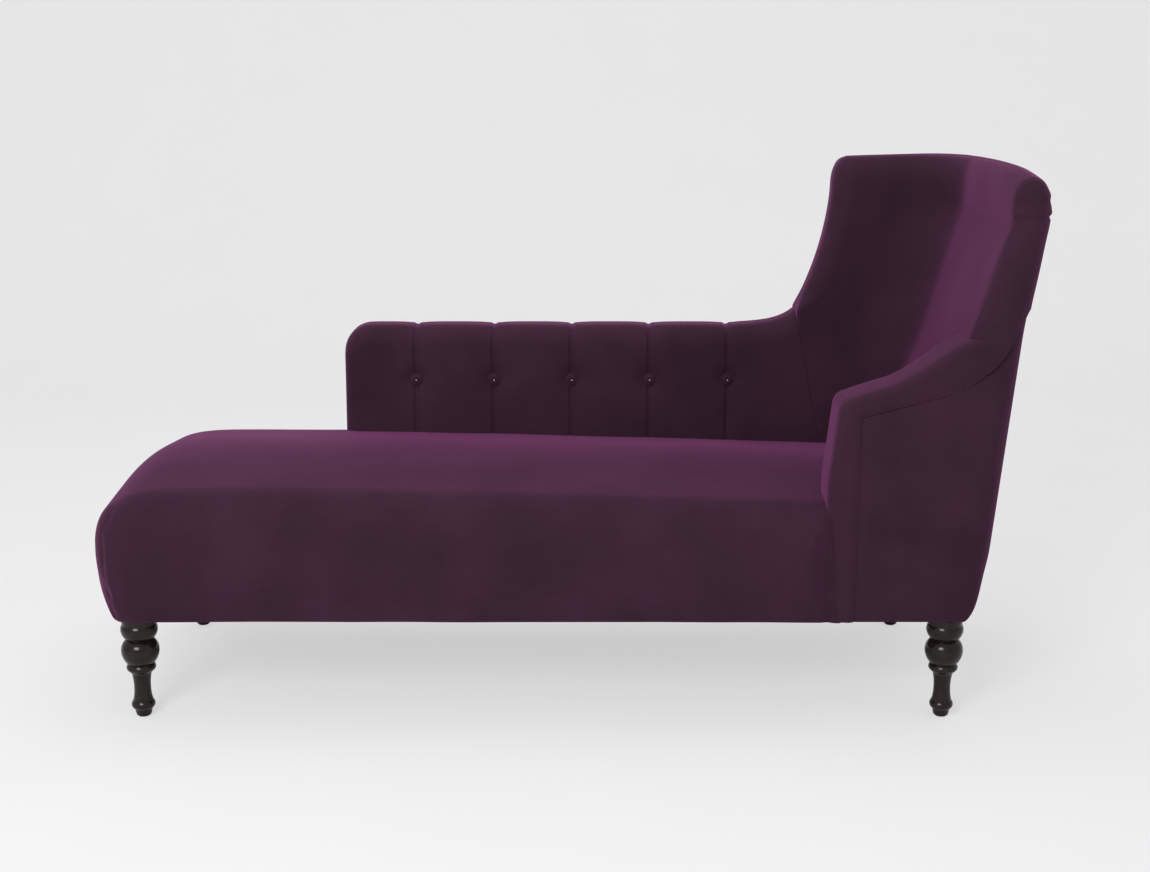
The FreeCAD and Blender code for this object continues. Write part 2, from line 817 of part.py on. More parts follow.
# Frame of the arm

def board_line(x):
    """Underside of the sloping arm board."""
    return seam_line(x) - arm_board_drop


def arm_post():
    rear = post_front + post_width
    points = [(post_front, rail_top), (post_front, board_line(post_front)),
              (rear, board_line(rear)), (rear, rail_top)]
    return side_prism(points, -half_depth, -rail_inner_y)


def arm_board_points(grow):
    rear = side_front(board_line(side_front(wing_start_z)))
    points = [(post_front - grow, board_line(post_front) - grow),
              (post_front - grow, board_line(post_front) + arm_board_thickness + grow)]
    high = board_line(rear) + arm_board_thickness
    points.append((side_front(high), high + grow))
    points.append((rear, board_line(rear) - grow))
    return points


def arm_board(grow=0.0):
    return side_prism(arm_board_points(grow), -half_depth - grow,
                      -half_depth + arm_board_width + grow)


def arm_tack_rail():
    start, end = post_front + post_width, side_front(tack_rail_bottom) + rail_thickness
    return box(start, end, -half_depth, -rail_inner_y, tack_rail_bottom,
               tack_rail_bottom + tack_rail_height)


# Legs and fasteners

def leg_places():
    return {"near_foot": (foot_leg_x, -leg_y), "far_foot": (foot_leg_x, leg_y),
            "near_head": (head_leg_x, -leg_y), "far_head": (head_leg_x, leg_y)}


def leg_profile():
    """Half outline of the turned leg: heights and radii as shares of its height and top."""
    lobes = [[(0.935, 0.96), (0.878, 1.05), (0.83, 0.97), (0.78, 0.76)],
             [(0.78, 0.76), (0.73, 1.01), (0.665, 1.08), (0.595, 0.98), (0.535, 0.735)],
             [(0.535, 0.735), (0.50, 0.835), (0.455, 0.64)],
             [(0.4325, 0.56), (0.368, 0.495), (0.275, 0.478), (0.195, 0.525), (0.16, 0.576)],
             [(0.16, 0.576), (0.1175, 0.672), (0.073, 0.513)],
             [(0.055, 0.478), (0.035, 0.455), (glide_thickness / rail_bottom, 0.424)]]

    def at(share):
        return V(share[1] * leg_top_radius, 0, share[0] * rail_bottom)

    edges = [Part.LineSegment(V(0, 0, rail_bottom), at((1.0, 1.0))).toShape()]
    last = at((1.0, 1.0))
    for lobe in lobes:
        points = [at(share) for share in lobe]
        if (points[0] - last).Length > 0.01:
            edges.append(Part.LineSegment(last, points[0]).toShape())
        curve = Part.BSplineCurve()
        curve.interpolate(points)
        edges.append(curve.toShape())
        last = points[-1]
    foot = V(0, 0, last.z)
    edges.append(Part.LineSegment(last, foot).toShape())
    edges.append(Part.LineSegment(foot, V(0, 0, rail_bottom)).toShape())
    return Part.Wire(edges)


def leg(place):
    x, y = place
    whole = turned(leg_profile(), V(x, y, 0))
    bolt_hole = rod(V(x, y, rail_bottom - bolt_into_leg - fit), V(x, y, rail_bottom + 1),
                    bolt_diameter / 2 + fit)
    pin_hole = rod(V(x, y, 0), V(x, y, glide_thickness + glide_pin_length + fit),
                   glide_pin_radius + fit)
    return whole.cut([bolt_hole, pin_hole])


def hanger_bolt(place, grow=0.0):
    x, y = place
    return rod(V(x, y, rail_bottom - bolt_into_leg), V(x, y, rail_bottom + bolt_into_block + grow),
               bolt_diameter / 2 + grow)


def leg_insert(place, grow=0.0):
    x, y = place
    return rod(V(x, y, rail_bottom), V(x, y, rail_bottom + insert_length + grow),
               insert_diameter / 2 + grow)


def glide(place):
    x, y = place
    disc = rod(V(x, y, 0), V(x, y, glide_thickness), glide_radius)
    pin = rod(V(x, y, glide_thickness / 2), V(x, y, glide_thickness + glide_pin_length),
              glide_pin_radius)
    return disc.fuse(pin).removeSplitter()


def screw(head, direction, length, grow=0.0):
    """A countersunk screw with its head flush at the point head."""
    shank = rod(head, head + direction * (length + grow), screw_diameter / 2 + grow)
    cone = Part.makeCone(screw_head_radius + grow, screw_diameter / 2 + grow, screw_head_height,
                         head, direction)
    return shank.fuse(cone).removeSplitter()


def screw_places():
    """Head, direction and length of every screw."""
    places = []
    for end, x_face in ((-1, foot_rail_x), (1, head_rail_x)):
        for side in (-1, 1):
            x_block = x_face - end * (rail_thickness + block_side / 2)
            y_block = side * (rail_inner_y - block_side / 2)
            for step in (-18, 18):
                places.append((V(x_block + step, side * half_depth, rail_bottom + 22),
                               V(0, -side, 0), screw_length))
                places.append((V(x_face, y_block + step, rail_bottom + 42),
                               V(-end, 0, 0), screw_length))
    z = rail_top - batten_height / 2
    for side in (-1, 1):
        for i in range(batten_screw_count):
            x = blend(foot_inner_x + 40, side_front(rail_top) - 40, i / (batten_screw_count - 1))
            places.append((V(x, side * (rail_inner_y - rail_thickness), z), V(0, side, 0),
                           batten_screw_length))
        for z_side in (rail_bottom + block_height + 8, rail_top - 40):
            places.append((V(head_rail_x, side * batten_y, z_side), V(-1, 0, 0), screw_length))
    return places


def dowel_places():
    """Joint face, direction into the board and depth of every dowel."""
    places = []
    middle = rail_thickness / 2
    for side in (-1, 1):
        for x in (foot_rail_x + middle, head_rail_x - middle):
            for z in (rail_top - 60, rail_top - 20):
                places.append((V(x, side * rail_inner_y, z), V(0, side, 0), dowel_depth))
        for x in stretcher_places():
            for step in (-12, 12):
                z = rail_bottom + stretcher_height / 2
                places.append((V(x + step, side * rail_inner_y, z), V(0, side, 0), dowel_depth))
        inner = side * (rail_inner_y - rail_thickness)
        high = crest_top - crest_border - crest_rail_height / 2
        for z in (high - 22, high + 22):
            x = (side_front(z) + back_outer(z) - near_side_inset) / 2
            places.append((V(x, inner, z), V(0, side, 0), dowel_depth))
        z = tack_rail_bottom + tack_rail_height / 2
        places.append((V(side_front(z) + middle, inner, z), V(0, side, 0), dowel_depth))
    half = dowel_length / 2
    for x in low_post_places():
        for step in (0.25, 0.75):
            foot = V(x + post_width * step, half_depth - middle, rail_top)
            places.append((foot, V(0, 0, -1), half))
        top = low_back_top - wood_inset - post_thickness
        places.append((V(x + post_width / 2, half_depth - middle, top), V(0, 0, 1), dowel_depth))
    for x in (wing_wood_front(rail_top) + 40, head_rail_x - 60):
        places.append((V(x, half_depth - middle, rail_top), V(0, 0, -1), half))
    for step in (0.25, 0.75):
        x = post_front + post_width * step
        places.append((V(x, -half_depth + middle, rail_top), V(0, 0, -1), half))
    x = post_front + post_width / 2
    places.append((V(x, -half_depth + middle, board_line(x)), V(0, 0, 1), dowel_depth))
    z = tack_rail_bottom + tack_rail_height / 2
    places.append((V(post_front + post_width, -half_depth + middle, z), V(-1, 0, 0), half / 2))
    return places


def dowel(place, grow=0.0):
    point, direction, depth = place
    return rod(point + direction * (depth + grow), point - direction * (dowel_length - depth + grow),
               dowel_diameter / 2 + grow)


# Spring deck

def spring_places():
    first = foot_inner_x + spring_margin
    last = back_inner(pad_bottom) - spring_end_gap
    return [blend(first, last, i / (spring_count - 1)) for i in range(spring_count)]


def zigzag_spring(x):
    """A sinuous spring: straight bars joined by half turns on alternating sides."""
    pitch = 2 * batten_y / (spring_bars - 1)
    reach = spring_width / 2 - pitch / 2
    edges = []
    side = 1
    start = V(x - spring_width / 2, -batten_y, spring_z)
    for i in range(spring_bars):
        y = -batten_y + pitch * i
        last = i == spring_bars - 1
        end = V(x + side * (spring_width / 2 if last else reach), y, spring_z)
        edges.append(Part.LineSegment(start, end).toShape())
        if last:
            break
        turn_side = V(x + side * spring_width / 2, y + pitch / 2, spring_z)
        start = V(x + side * reach, y + pitch, spring_z)
        edges.append(Part.Arc(end, turn_side, start).toShape())
        side = -side
    path = Part.Wire(edges)
    ring = Part.Wire([Part.makeCircle(spring_wire / 2, V(x - spring_width / 2, -batten_y, spring_z),
                                      V(1, 0, 0))])
    return path.makePipeShell([ring], True, False)


def spring_clip(x, side):
    y = side * batten_y
    block = box(x - clip_width / 2, x + clip_width / 2, y - clip_length / 2, y + clip_length / 2,
                rail_top, rail_top + clip_height)
    return block.cut(rod(V(x - clip_width, y, spring_z), V(x + clip_width, y, spring_z),
                         spring_wire / 2 + fit))


def tie_wires():
    xs = spring_places()
    return [rod(V(xs[0] - 40, side * tie_y, tie_z + fit), V(xs[-1] + 40, side * tie_y, tie_z + fit),
                tie_wire / 2) for side in (-1, 1)]


def seat_hessian():
    return box(foot_inner_x + play, side_front(rail_top) - 1, -rail_inner_y + play,
               rail_inner_y - play, hessian_z, hessian_top)


# Seat padding and cover

def edge_rolls(limits):
    """Padding over the rails: near side, foot end and far side."""
    below = box(foot_tip - 50, beyond_head, -far, far, rail_bottom - 50, rail_bottom + roll_lift)
    above = box(foot_tip - 50, beyond_head, -far, far, deck_z - play, crest_top)
    frame = box(foot_rail_x - play, head_rail_x, -half_depth - play, half_depth + play,
                rail_bottom - 50, rail_top + play)
    deck = box(foot_inner_x, head_rail_x, -rail_inner_y - play, rail_inner_y + play,
               rail_bottom, crest_top)
    whole = without(seat_body(cover_thickness + play), [below, above, frame, deck] + limits)
    split = foot_inner_x
    regions = {"near_edge_roll": (split + play, beyond_head, -far, 0),
               "foot_edge_roll": (foot_tip - 50, split, -far, far),
               "far_edge_roll": (split + play, beyond_head, 0, far)}
    return {name: whole.common(box(*sides, 0, crest_top)) for name, sides in regions.items()}


def above_deck():
    return box(foot_tip - 50, beyond_head, -far, far, deck_z, crest_top)


def seat_wadding(limits):
    inner = cover_thickness + play + wadding_thickness
    layer = seat_body(cover_thickness + play).common(above_deck())
    return without(layer, [seat_body(inner)] + limits)


def seat_foam(limits):
    depth = cover_thickness + wadding_thickness + 2 * play
    return without(seat_body(depth).common(above_deck()), limits)


def seat_cover(limits):
    return without(seat_body(0), [seat_body(cover_thickness), base_space()] + limits)


# Low back padding, cover and buttons

def tuft_button(x):
    """A covered button: a short edge and a domed front, its axis along Y."""
    back = button_seat() - play
    rise = button_thickness - button_edge
    dome = (button_radius ** 2 + rise ** 2) / (2 * rise)
    disc = rod(V(x, back, button_height), V(x, back - button_thickness, button_height), button_radius)
    return disc.common(Part.makeSphere(dome, V(x, back - button_thickness + dome, button_height)))


def tuft_tie(x, grow=0.0):
    """Twine from the button through the foam to its toggle behind."""
    y0, y1 = button_seat() - play + fit, web_face + fit
    twine = rod(V(x, y0 - grow, button_height), V(x, y1 + 1, button_height), twine_radius + grow)
    if grow:
        return twine
    toggle = rod(V(x, web_face - play + fit, button_height),
                 V(x, web_face - play + fit + toggle_thickness, button_height), toggle_radius)
    return twine.fuse(toggle).removeSplitter()


def low_back_webbing():
    straps = []
    start = low_back_start + wood_inset
    for i in range(2):
        z = low_strap_bottom + low_strap_pitch * i
        straps.append(box(start, wing_wood_front(z) + post_width, web_face, web_face + web_thickness,
                          z, z + web_width))
    return straps


def tie_holes():
    return [tuft_tie(x, fit) for x in seams]


def low_back_foam():
    return without(low_back_body(cover_thickness + play), [far_hollow()] + tie_holes())


def low_back_cover():
    panel = side_prism(far_panel_points(play), half_depth - 20, far)
    shell = low_back_body(0).cut(low_back_body(cover_thickness))
    return without(shell, [far_hollow(), panel] + tie_holes())


# Head end padding and cover

def head_back_webbing():
    straps = []
    for i in range(head_strap_count):
        low = head_strap_bottom + head_strap_pitch * i
        points = [(cavity_face(low) + play, low), (cavity_face(low + web_width) + play, low + web_width)]
        points += [(x + web_thickness, z) for x, z in reversed(points)]
        straps.append(side_prism(points, -rail_inner_y, rail_inner_y))
    return straps


def head_back_foam():
    hollows = [far_space(), back_hollow(-rail_inner_y - play), crest_hollow(), near_hollow(),
               arm_body(-play)]
    return without(back_body(cover_thickness + play), hollows)


def head_back_cover():
    panel = side_prism(far_panel_points(play), half_depth - 20, far)
    shell = back_body(0).cut(back_body(cover_thickness))
    return without(shell, [far_hollow(), panel, back_hollow(panel_joint_y), near_opening(),
                           arm_body(-play)])


# Arm padding and cover

def below_arm():
    """What lies under the deck behind the arm's facing."""
    return box(arm_front + arm_band, beyond_head, -far, far, rail_bottom - 50, pad_bottom)


def arm_foam():
    hollows = [base_space(), below_arm(), near_hollow(), near_opening(), arm_board(play),
               back_hollow(-rail_inner_y - play)]
    limit = box(foot_tip, beyond_head, -far, far, rail_bottom - 50, rail_bottom + roll_lift)
    return without(arm_body(cover_thickness + play), hollows + [limit])


def arm_cover():
    shell = arm_body(0).cut(arm_body(cover_thickness))
    return without(shell, [base_space(), below_arm(), near_opening(),
                           back_hollow(-rail_inner_y - play)])


# Outside panels

def outside_wall():
    return outside_body(0).cut(outside_body(panel_thickness))


def outside_panels():
    wall = outside_wall()
    start = arm_front + arm_band + play
    seam = [p for p in seam_points(0) if p[0] >= arm_front + arm_band]
    seam[0] = (start, seam[0][1])
    points = seam + [(beyond_head, seam[-1][1]), (beyond_head, rail_bottom), (start, rail_bottom)]
    near = wall.common(side_prism(points, -far, panel_joint_y - play / 2))
    edge = far_corner_radius + panel_lap - play
    behind = [(back_outer(z) - edge, z) for z in
              (rail_bottom, 240, 280, back_foot_z, 550, back_bend_z, opening_top)]
    behind += [(beyond_head, opening_top), (beyond_head, rail_bottom)]
    back = wall.common(side_prism(behind, panel_joint_y + play / 2, far))
    side = wall.common(side_prism(far_panel_points(0), 0, far))
    return {"outside_arm_panel": near, "outside_back_panel": back, "outside_far_panel": side}


def dust_cover():
    top = rail_bottom - fit
    margin = dust_cover_margin
    sheet = box(foot_rail_x + margin, head_rail_x - margin, -half_depth + margin,
                half_depth - margin, top - dust_cover_thickness, top)
    return sheet.cut([rod(V(x, y, 0), V(x, y, rail_top), dust_hole_radius)
                      for x, y in leg_places().values()])


def frame_pieces():
    """The wooden pieces, each still without its holes."""
    first, second = low_post_places()
    foot_stretcher, head_stretcher = stretcher_places()
    pieces = {"near_rail": [long_rail(-1)], "far_rail": [long_rail(1)],
              "foot_rail": [end_rail(foot_rail_x)], "head_rail": [end_rail(head_inner_x)],
              "foot_stretcher": [stretcher(foot_stretcher)],
              "head_stretcher": [stretcher(head_stretcher)],
              "near_spring_batten": [spring_batten(-1)], "far_spring_batten": [spring_batten(1)],
              "low_back_foot_post": [low_post(first)], "low_back_mid_post": [low_post(second)],
              "low_back_top_rail": [low_back_top_rail()],
              "low_back_tack_rails": low_back_tack_rails(), "wing_side": [wing_side()],
              "near_back_side": [back_side(-1)], "far_back_side": [back_side(1)],
              "crest_rail": [crest_rail()], "head_tack_rail": [head_tack_rail()],
              "arm_post": [arm_post()], "arm_board": [arm_board()],
              "arm_tack_rail": [arm_tack_rail()]}
    for end, end_name in ((-1, "foot"), (1, "head")):
        for side, side_name in ((-1, "near"), (1, "far")):
            pieces[f"{side_name}_{end_name}_leg_block"] = [leg_block(end, side)]
    return pieces


def save_frame():
    legs = leg_places().values()
    holes = [dowel(place, fit) for place in dowel_places()]
    holes += [screw(*place, fit) for place in screw_places()]
    holes += [hanger_bolt(place, fit) for place in legs]
    holes += [leg_insert(place, fit) for place in legs]
    for name, solids in frame_pieces().items():
        drilled = []
        for solid in solids:
            near = [h for h in holes if h.BoundBox.intersect(solid.BoundBox)]
            drilled.append(solid.cut(near) if near else solid)
        save(name, together(drilled) if len(drilled) > 1 else drilled[0])


def save_hardware():
    legs = leg_places()
    for name, place in legs.items():
        save(f"{name}_leg", leg(place))
    bolts = [hanger_bolt(place) for place in legs.values()]
    save("hanger_bolts", together(bolts))
    save("leg_inserts", together([leg_insert(place).cut(hanger_bolt(place, fit))
                                  for place in legs.values()]))
    save("leg_glides", together([glide(place) for place in legs.values()]))
    save("frame_screws", together([screw(*place) for place in screw_places()]))
    save("frame_dowels", together([dowel(place) for place in dowel_places()]))


def save_deck():
    xs = spring_places()
    save("seat_springs", together([zigzag_spring(x) for x in xs]))
    save("spring_clips", together([spring_clip(x, side) for x in xs for side in (-1, 1)]))
    save("spring_tie_wires", together(tie_wires()))
    save("seat_hessian", seat_hessian())
    save("dust_cover", dust_cover())


def save_seat():
    limits = seat_limits()
    for name, roll in edge_rolls(limits).items():
        save(name, roll)
    save("seat_foam", seat_foam(limits))
    save("seat_wadding", seat_wadding(limits))
    save("seat_cover", seat_cover(limits))


def save_low_back():
    save("low_back_webbing", together(low_back_webbing()))
    save("low_back_foam", low_back_foam())
    save("low_back_cover", low_back_cover())
    save("tuft_buttons", together([tuft_button(x) for x in seams]))
    save("tuft_ties", together([tuft_tie(x) for x in seams]))


def save_head_end():
    save("head_back_webbing", together(head_back_webbing()))
    save("head_back_foam", head_back_foam())
    save("head_back_cover", head_back_cover())
    save("arm_foam", arm_foam())
    save("arm_cover", arm_cover())
    for name, panel in outside_panels().items():
        save(name, panel)


def main():
    save_frame()
    save_hardware()
    save_deck()
    save_seat()
    save_low_back()
    save_head_end()


main()
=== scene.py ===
import json
import math

import bpy
import numpy as np
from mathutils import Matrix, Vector, noise

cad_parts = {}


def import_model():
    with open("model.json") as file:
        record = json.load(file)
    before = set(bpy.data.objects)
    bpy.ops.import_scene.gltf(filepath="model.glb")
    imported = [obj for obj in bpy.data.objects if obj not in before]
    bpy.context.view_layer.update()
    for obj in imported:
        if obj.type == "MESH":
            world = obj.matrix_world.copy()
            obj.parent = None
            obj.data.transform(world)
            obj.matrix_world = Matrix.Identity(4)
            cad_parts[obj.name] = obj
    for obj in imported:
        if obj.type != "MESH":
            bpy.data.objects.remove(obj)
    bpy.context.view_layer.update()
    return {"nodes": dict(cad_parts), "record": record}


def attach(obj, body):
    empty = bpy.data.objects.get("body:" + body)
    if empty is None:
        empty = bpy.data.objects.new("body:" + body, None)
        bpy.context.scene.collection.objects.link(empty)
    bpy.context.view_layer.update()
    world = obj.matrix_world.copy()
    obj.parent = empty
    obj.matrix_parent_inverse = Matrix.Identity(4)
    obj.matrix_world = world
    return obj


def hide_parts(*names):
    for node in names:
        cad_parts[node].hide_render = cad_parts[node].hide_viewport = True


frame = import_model()

# Seat; every size is in metres
foot_tip = -0.890
rail_bottom = 0.200
rail_top = 0.345
head_rail_face = 0.764     # outer face of the head end rail
seat_half = 0.330
seat_top = 0.480
seat_fall = 0.037          # how much lower the crown lies at the head end
seat_crown = 0.033         # crown above the shoulders of the sides
seat_end = 0.667
seat_deep = 0.188          # the sides run on to here and are cut level at the rails
crown_radius = 1.1
bulge_height = 0.310       # where the sides and the foot end stand out most
bulge_end_length = 0.060   # length over which a padded side closes at its end
panel_face = 0.2988
side_tuck = 0.0312         # how far the sides turn in at the foot
side_lean = 0.014          # how far they turn in at the shoulders
side_radius = 0.200
under_fold = 0.030         # cover that is turned in under the rails
foot_sweep = 0.230         # length over which the top rolls down to the foot end
foot_bulge = 0.0417
foot_roll = 3.7            # how full the foot end is; 2 is a plain quarter ellipse
foot_corner = 0.078
shoulder_radius = 0.085
proud = 0.0006             # the skins stand this far outside the padding's form
cover_foot = rail_bottom + proud
seat_step = 0.014

# Fold sewn down each corner of the foot end
fold_top = 0.452
fold_centre = 0.083        # in from the tip and from the side
fold_angle = 0.80          # where the fold starts, in radians from the foot end
fold_turn = 0.30           # how far it wanders round the corner, per metre down

# Low back along the far side
low_start = -0.477
low_top = 0.683
low_corner = 0.060
low_edge = 0.042
outer_edge = 0.014
seams = [-0.320, -0.152, 0.016, 0.184, 0.352]
low_rise_start = 0.200     # from here the top line sweeps up into the wing
seam_depth = 0.008
seam_drop = 0.006
low_face = 0.2125          # front face at the height of the rails' top
low_face_lean = 0.045      # lean of the front face, run over rise
low_back_foot = 0.360      # the covers run down behind the seat to here
button_height = 0.567
button_radius = 0.0145
button_thickness = 0.009
panel_margin = 0.024       # cover that shows round the far outside panel

# Head end's back with its wing
back_foot_x = 0.8125       # outer face of the back where its tuck begins
back_foot_z = 0.328
back_rake = 0.095          # lean of the outer face, run over rise
back_rake_high = 0.135     # the same above back_bend_z
back_bend_z = 0.750
rake_end = 0.965           # above this height the back rises straight
back_tuck = 0.038          # how far the outer face turns in at the bottom
back_near_face = 0.767     # inner face at the near edge, at back_face_height
back_face_height = 0.800
face_rake = 0.303
face_bow = 0.010           # the inner face lies this much further out at the far side
wall_lean = 0.03           # lean of the far side, run over rise
wing_start = 0.4975
joint_slope = 0.2          # seam between the low back and the wing, run over rise
wing_start_z = 0.715
wing_lean = 0.074
wing_edge = 0.040
near_corner = 0.045
far_corner = 0.062
hollow_radius = 0.150
crest_top = 1.045
crest_round = 0.056
crest_inset = 0.028
crest_proud = 0.003
crest_corner = 0.020       # how much rounder the far corner gets in the crest
opening_top = 0.950        # top of the outside back panel
near_face = -0.306
panel_joint_y = -0.250
turned_in = 0.006          # cover that is turned in at an open edge
pad_gap = 0.0015           # between a panel and the cover's edge beside it

# Arm on the near side
arm_front = 0.499
arm_front_top = 0.632      # height just behind the rounded front
arm_inner = -0.1855
arm_round = 0.034
arm_lean = 0.030           # the seat's side runs on past the arm's front by this
arm_band = 0.054           # width of the facing down the front of the arm
arm_shoulder = 0.027
arm_slope = 0.30
arm_lift = 0.042           # extra rise where the arm runs into the back
arm_lift_start = 0.620
arm_lift_length = 0.125
arm_roll = 0.0045          # how far the near face rolls in beside the panel's seam
arm_roll_width = 0.012
seam_front_z = 0.598       # top seam of the outside panel, at the back of the band
seam_slope = 0.27
seam_turn_start = 0.7005
seam_turn_length = 0.138
seam_turn_rise = 0.087

# Covers and outside panels
skin = 0.0024              # thickness of a cover with its backing
lap = 0.005                # how far the far panel reaches in under the cover's edge
sunk_panel = 0.0009
panel_foot = rail_bottom + 0.0002
panel_gap = 0.0003
row_gap = 0.0004           # between two rows that meet at a step in a panel's outline
nearest_rows = 0.0009      # two stations closer than this count as one


def clamp(value, low, high):
    return max(low, min(high, value))


def blend(a, b, t):
    return a + (b - a) * t


def smooth(t):
    t = clamp(t, 0.0, 1.0)
    return t * t * (3 - 2 * t)


def bell(gap, width):
    return math.exp(-(gap / width) ** 2)


def rounded_off(past, radius):
    """How far a round corner has turned in at a distance past its tip."""
    share = clamp(1 - past / radius, 0, 1)
    return radius * (1 - math.sqrt(1 - share ** 2))


def spaced(stations):
    """The stations in order, without those that all but touch the one before."""
    stations = sorted(stations)
    kept = stations[:1]
    for x in stations[1:]:
        if x - kept[-1] > nearest_rows:
            kept.append(x)
    return kept


# Faces of the padding, as functions of the height or of the place along the piece

def back_outer(z):
    """Outer face of the head end's back."""
    height = clamp(z, rail_bottom, rake_end)
    low = min(height, back_bend_z)
    below = clamp((back_foot_z - z) / (back_foot_z - rail_bottom + 0.002), 0, 1)
    tuck = back_tuck * (1 - 0.75 * math.sqrt(1 - below ** 2) - 0.25 * (1 - below))
    return (back_foot_x + back_rake * (low - back_foot_z) + back_rake_high * (height - low)
            - tuck)


def back_inner(z):
    return back_near_face + face_rake * (min(z, opening_top) - back_face_height)


def far_outer(z):
    return panel_face + wall_lean * (z - rail_bottom)


def far_inner(z):
    return low_face + low_face_lean * (z - rail_top)


def joint_x(z):
    """Slanting seam between the low back's cover and the wing's."""
    return wing_start + joint_slope * (wing_start_z - z)


def wing_front(z):
    """Front edge of the wing, and of the low back's seam below it."""
    if z <= wing_start_z:
        return joint_x(z)
    share = clamp((z - wing_start_z) / (crest_top - crest_round - wing_start_z), 0, 1)
    return wing_start + wing_lean * (1 - (1 - share) ** 1.8)


def low_back_height(x):
    """Top line of the low back: level, then a short sweep up into the wing."""
    share = clamp((x - low_rise_start) / (wing_start - low_rise_start), 0, 1.2)
    return low_top + (wing_start_z - low_top) * share ** 7


def arm_top(x):
    """Top line of the arm: a long slope that lifts into the back."""
    lift = arm_lift * smooth((x - arm_lift_start) / arm_lift_length)
    return arm_front_top + arm_slope * (x - arm_front - arm_shoulder) + lift


def arm_seam(x):
    """Seam along the top of the outside arm panel."""
    turn = clamp((x - seam_turn_start) / seam_turn_length, 0, 1.1)
    slope = seam_slope * (x - arm_front - arm_band)
    return seam_front_z + slope + seam_turn_rise * turn ** 2.8


# Outlines: a corner is (u, v, radius); every side and corner has its own number of steps

smallest_radius = 0.001


def rounded_path(corners, sides, turns, closed):
    """Points along a path with rounded corners, the same count whatever its size."""
    points = [np.array(c[:2], float) for c in corners]
    count = len(points)
    arcs = []
    for i in range(count):
        here = points[i]
        if not closed and i in (0, count - 1):
            arcs.append([here])
            continue
        back, ahead = points[i - 1] - here, points[(i + 1) % count] - here
        reach = 0.48 * min(np.linalg.norm(back), np.linalg.norm(ahead))
        back, ahead = back / np.linalg.norm(back), ahead / np.linalg.norm(ahead)
        half = math.acos(clamp(float(back @ ahead), -1, 1)) / 2
        half = min(half, math.pi / 2 - 1e-4)
        length = min(corners[i][2] / math.tan(half), reach)
        radius = length * math.tan(half)
        inward = (back + ahead) / max(np.linalg.norm(back + ahead), 1e-9)
        centre = here + inward * radius / math.sin(half)
        start, end = here + back * length - centre, here + ahead * length - centre
        sweep = math.pi - 2 * half
        steps = turns[i]
        arcs.append([centre + (start * math.sin(sweep * (1 - k / steps))
                               + end * math.sin(sweep * k / steps)) / math.sin(sweep)
                     for k in range(steps + 1)])
    path = []
    for i in range(count if closed else count - 1):
        a, b = arcs[i][-1], arcs[(i + 1) % count][0]
        path += arcs[i]
        path += [blend(a, b, k / sides[i]) for k in range(1, sides[i])]
    if not closed:
        path += arcs[-1]
    return np.array(path)


def inset(corners, depth):
    """Move every side of a closed outline inward; rounded corners keep their centres."""
    count = len(corners)
    moved = []
    for i in range(count):
        u, v, radius = corners[i]
        a = np.array([u - corners[i - 1][0], v - corners[i - 1][1]])
        b = np.array([corners[(i + 1) % count][0] - u, corners[(i + 1) % count][1] - v])
        a, b = a / np.linalg.norm(a), b / np.linalg.norm(b)
        na, nb = np.array([a[1], -a[0]]), np.array([b[1], -b[0]])
        shift = (na + nb) * depth / (1 + na @ nb)
        convex = a[0] * b[1] - a[1] * b[0] < 0
        radius += -depth if convex else depth
        moved.append((u + shift[0], v + shift[1], max(radius, smallest_radius)))
    return moved


# Meshes

def mesh_object(name, points, faces, material):
    mesh = bpy.data.meshes.new(name)
    mesh.from_pydata([tuple(float(c) for c in p) for p in points], [], faces)
    mesh.validate()
    mesh.shade_smooth()
    mesh.materials.append(material)
    obj = bpy.data.objects.new(name, mesh)
    bpy.context.collection.objects.link(obj)
    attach(obj, "root")
    return obj


def grid_faces(rows, columns, start=0, wrap=False):
    """Quads between rows of points; wrap joins each row's end to its start."""
    faces = []
    for i in range(rows - 1):
        for j in range(columns if wrap else columns - 1):
            k = (j + 1) % columns
            a, b = start + i * columns, start + (i + 1) * columns
            faces.append((a + j, a + k, b + k, b + j))
    return faces


def point_out(obj, inside):
    """Turn the faces so that they look away from a point inside the padding."""
    mesh = obj.data
    total = 0.0
    for face in mesh.polygons:
        total += face.area * face.normal.dot(face.center - Vector(inside))
    if total < 0:
        mesh.flip_normals()


def thicken(obj):
    """Give a skin its thickness, inwards, and smooth it."""
    solid = obj.modifiers.new("Thickness", "SOLIDIFY")
    solid.thickness = skin
    solid.offset = -1
    fine = obj.modifiers.new("Smooth", "SUBSURF")
    fine.levels = 1
    fine.render_levels = 1


def soften(points, scale, amount, offset):
    """Slight unevenness of hand-laid padding, in metres."""
    out = []
    for p in points:
        place = Vector((p[0] * scale, p[1] * scale, p[2] * scale)) + Vector(offset)
        out.append(noise.noise(place) * amount)
    return np.array(out)


# Materials

def new_material(name):
    material = bpy.data.materials.new(name)
    material.use_nodes = True
    tree = material.node_tree
    return material, tree, tree.nodes["Principled BSDF"]


def noise_node(tree, scale, detail=3.0, stretch=(1, 1, 1)):
    coords = tree.nodes.new("ShaderNodeTexCoord")
    mapping = tree.nodes.new("ShaderNodeMapping")
    mapping.inputs["Scale"].default_value = stretch
    texture = tree.nodes.new("ShaderNodeTexNoise")
    texture.inputs["Scale"].default_value = scale
    texture.inputs["Detail"].default_value = detail
    tree.links.new(coords.outputs["Object"], mapping.inputs["Vector"])
    tree.links.new(mapping.outputs["Vector"], texture.inputs["Vector"])
    return texture


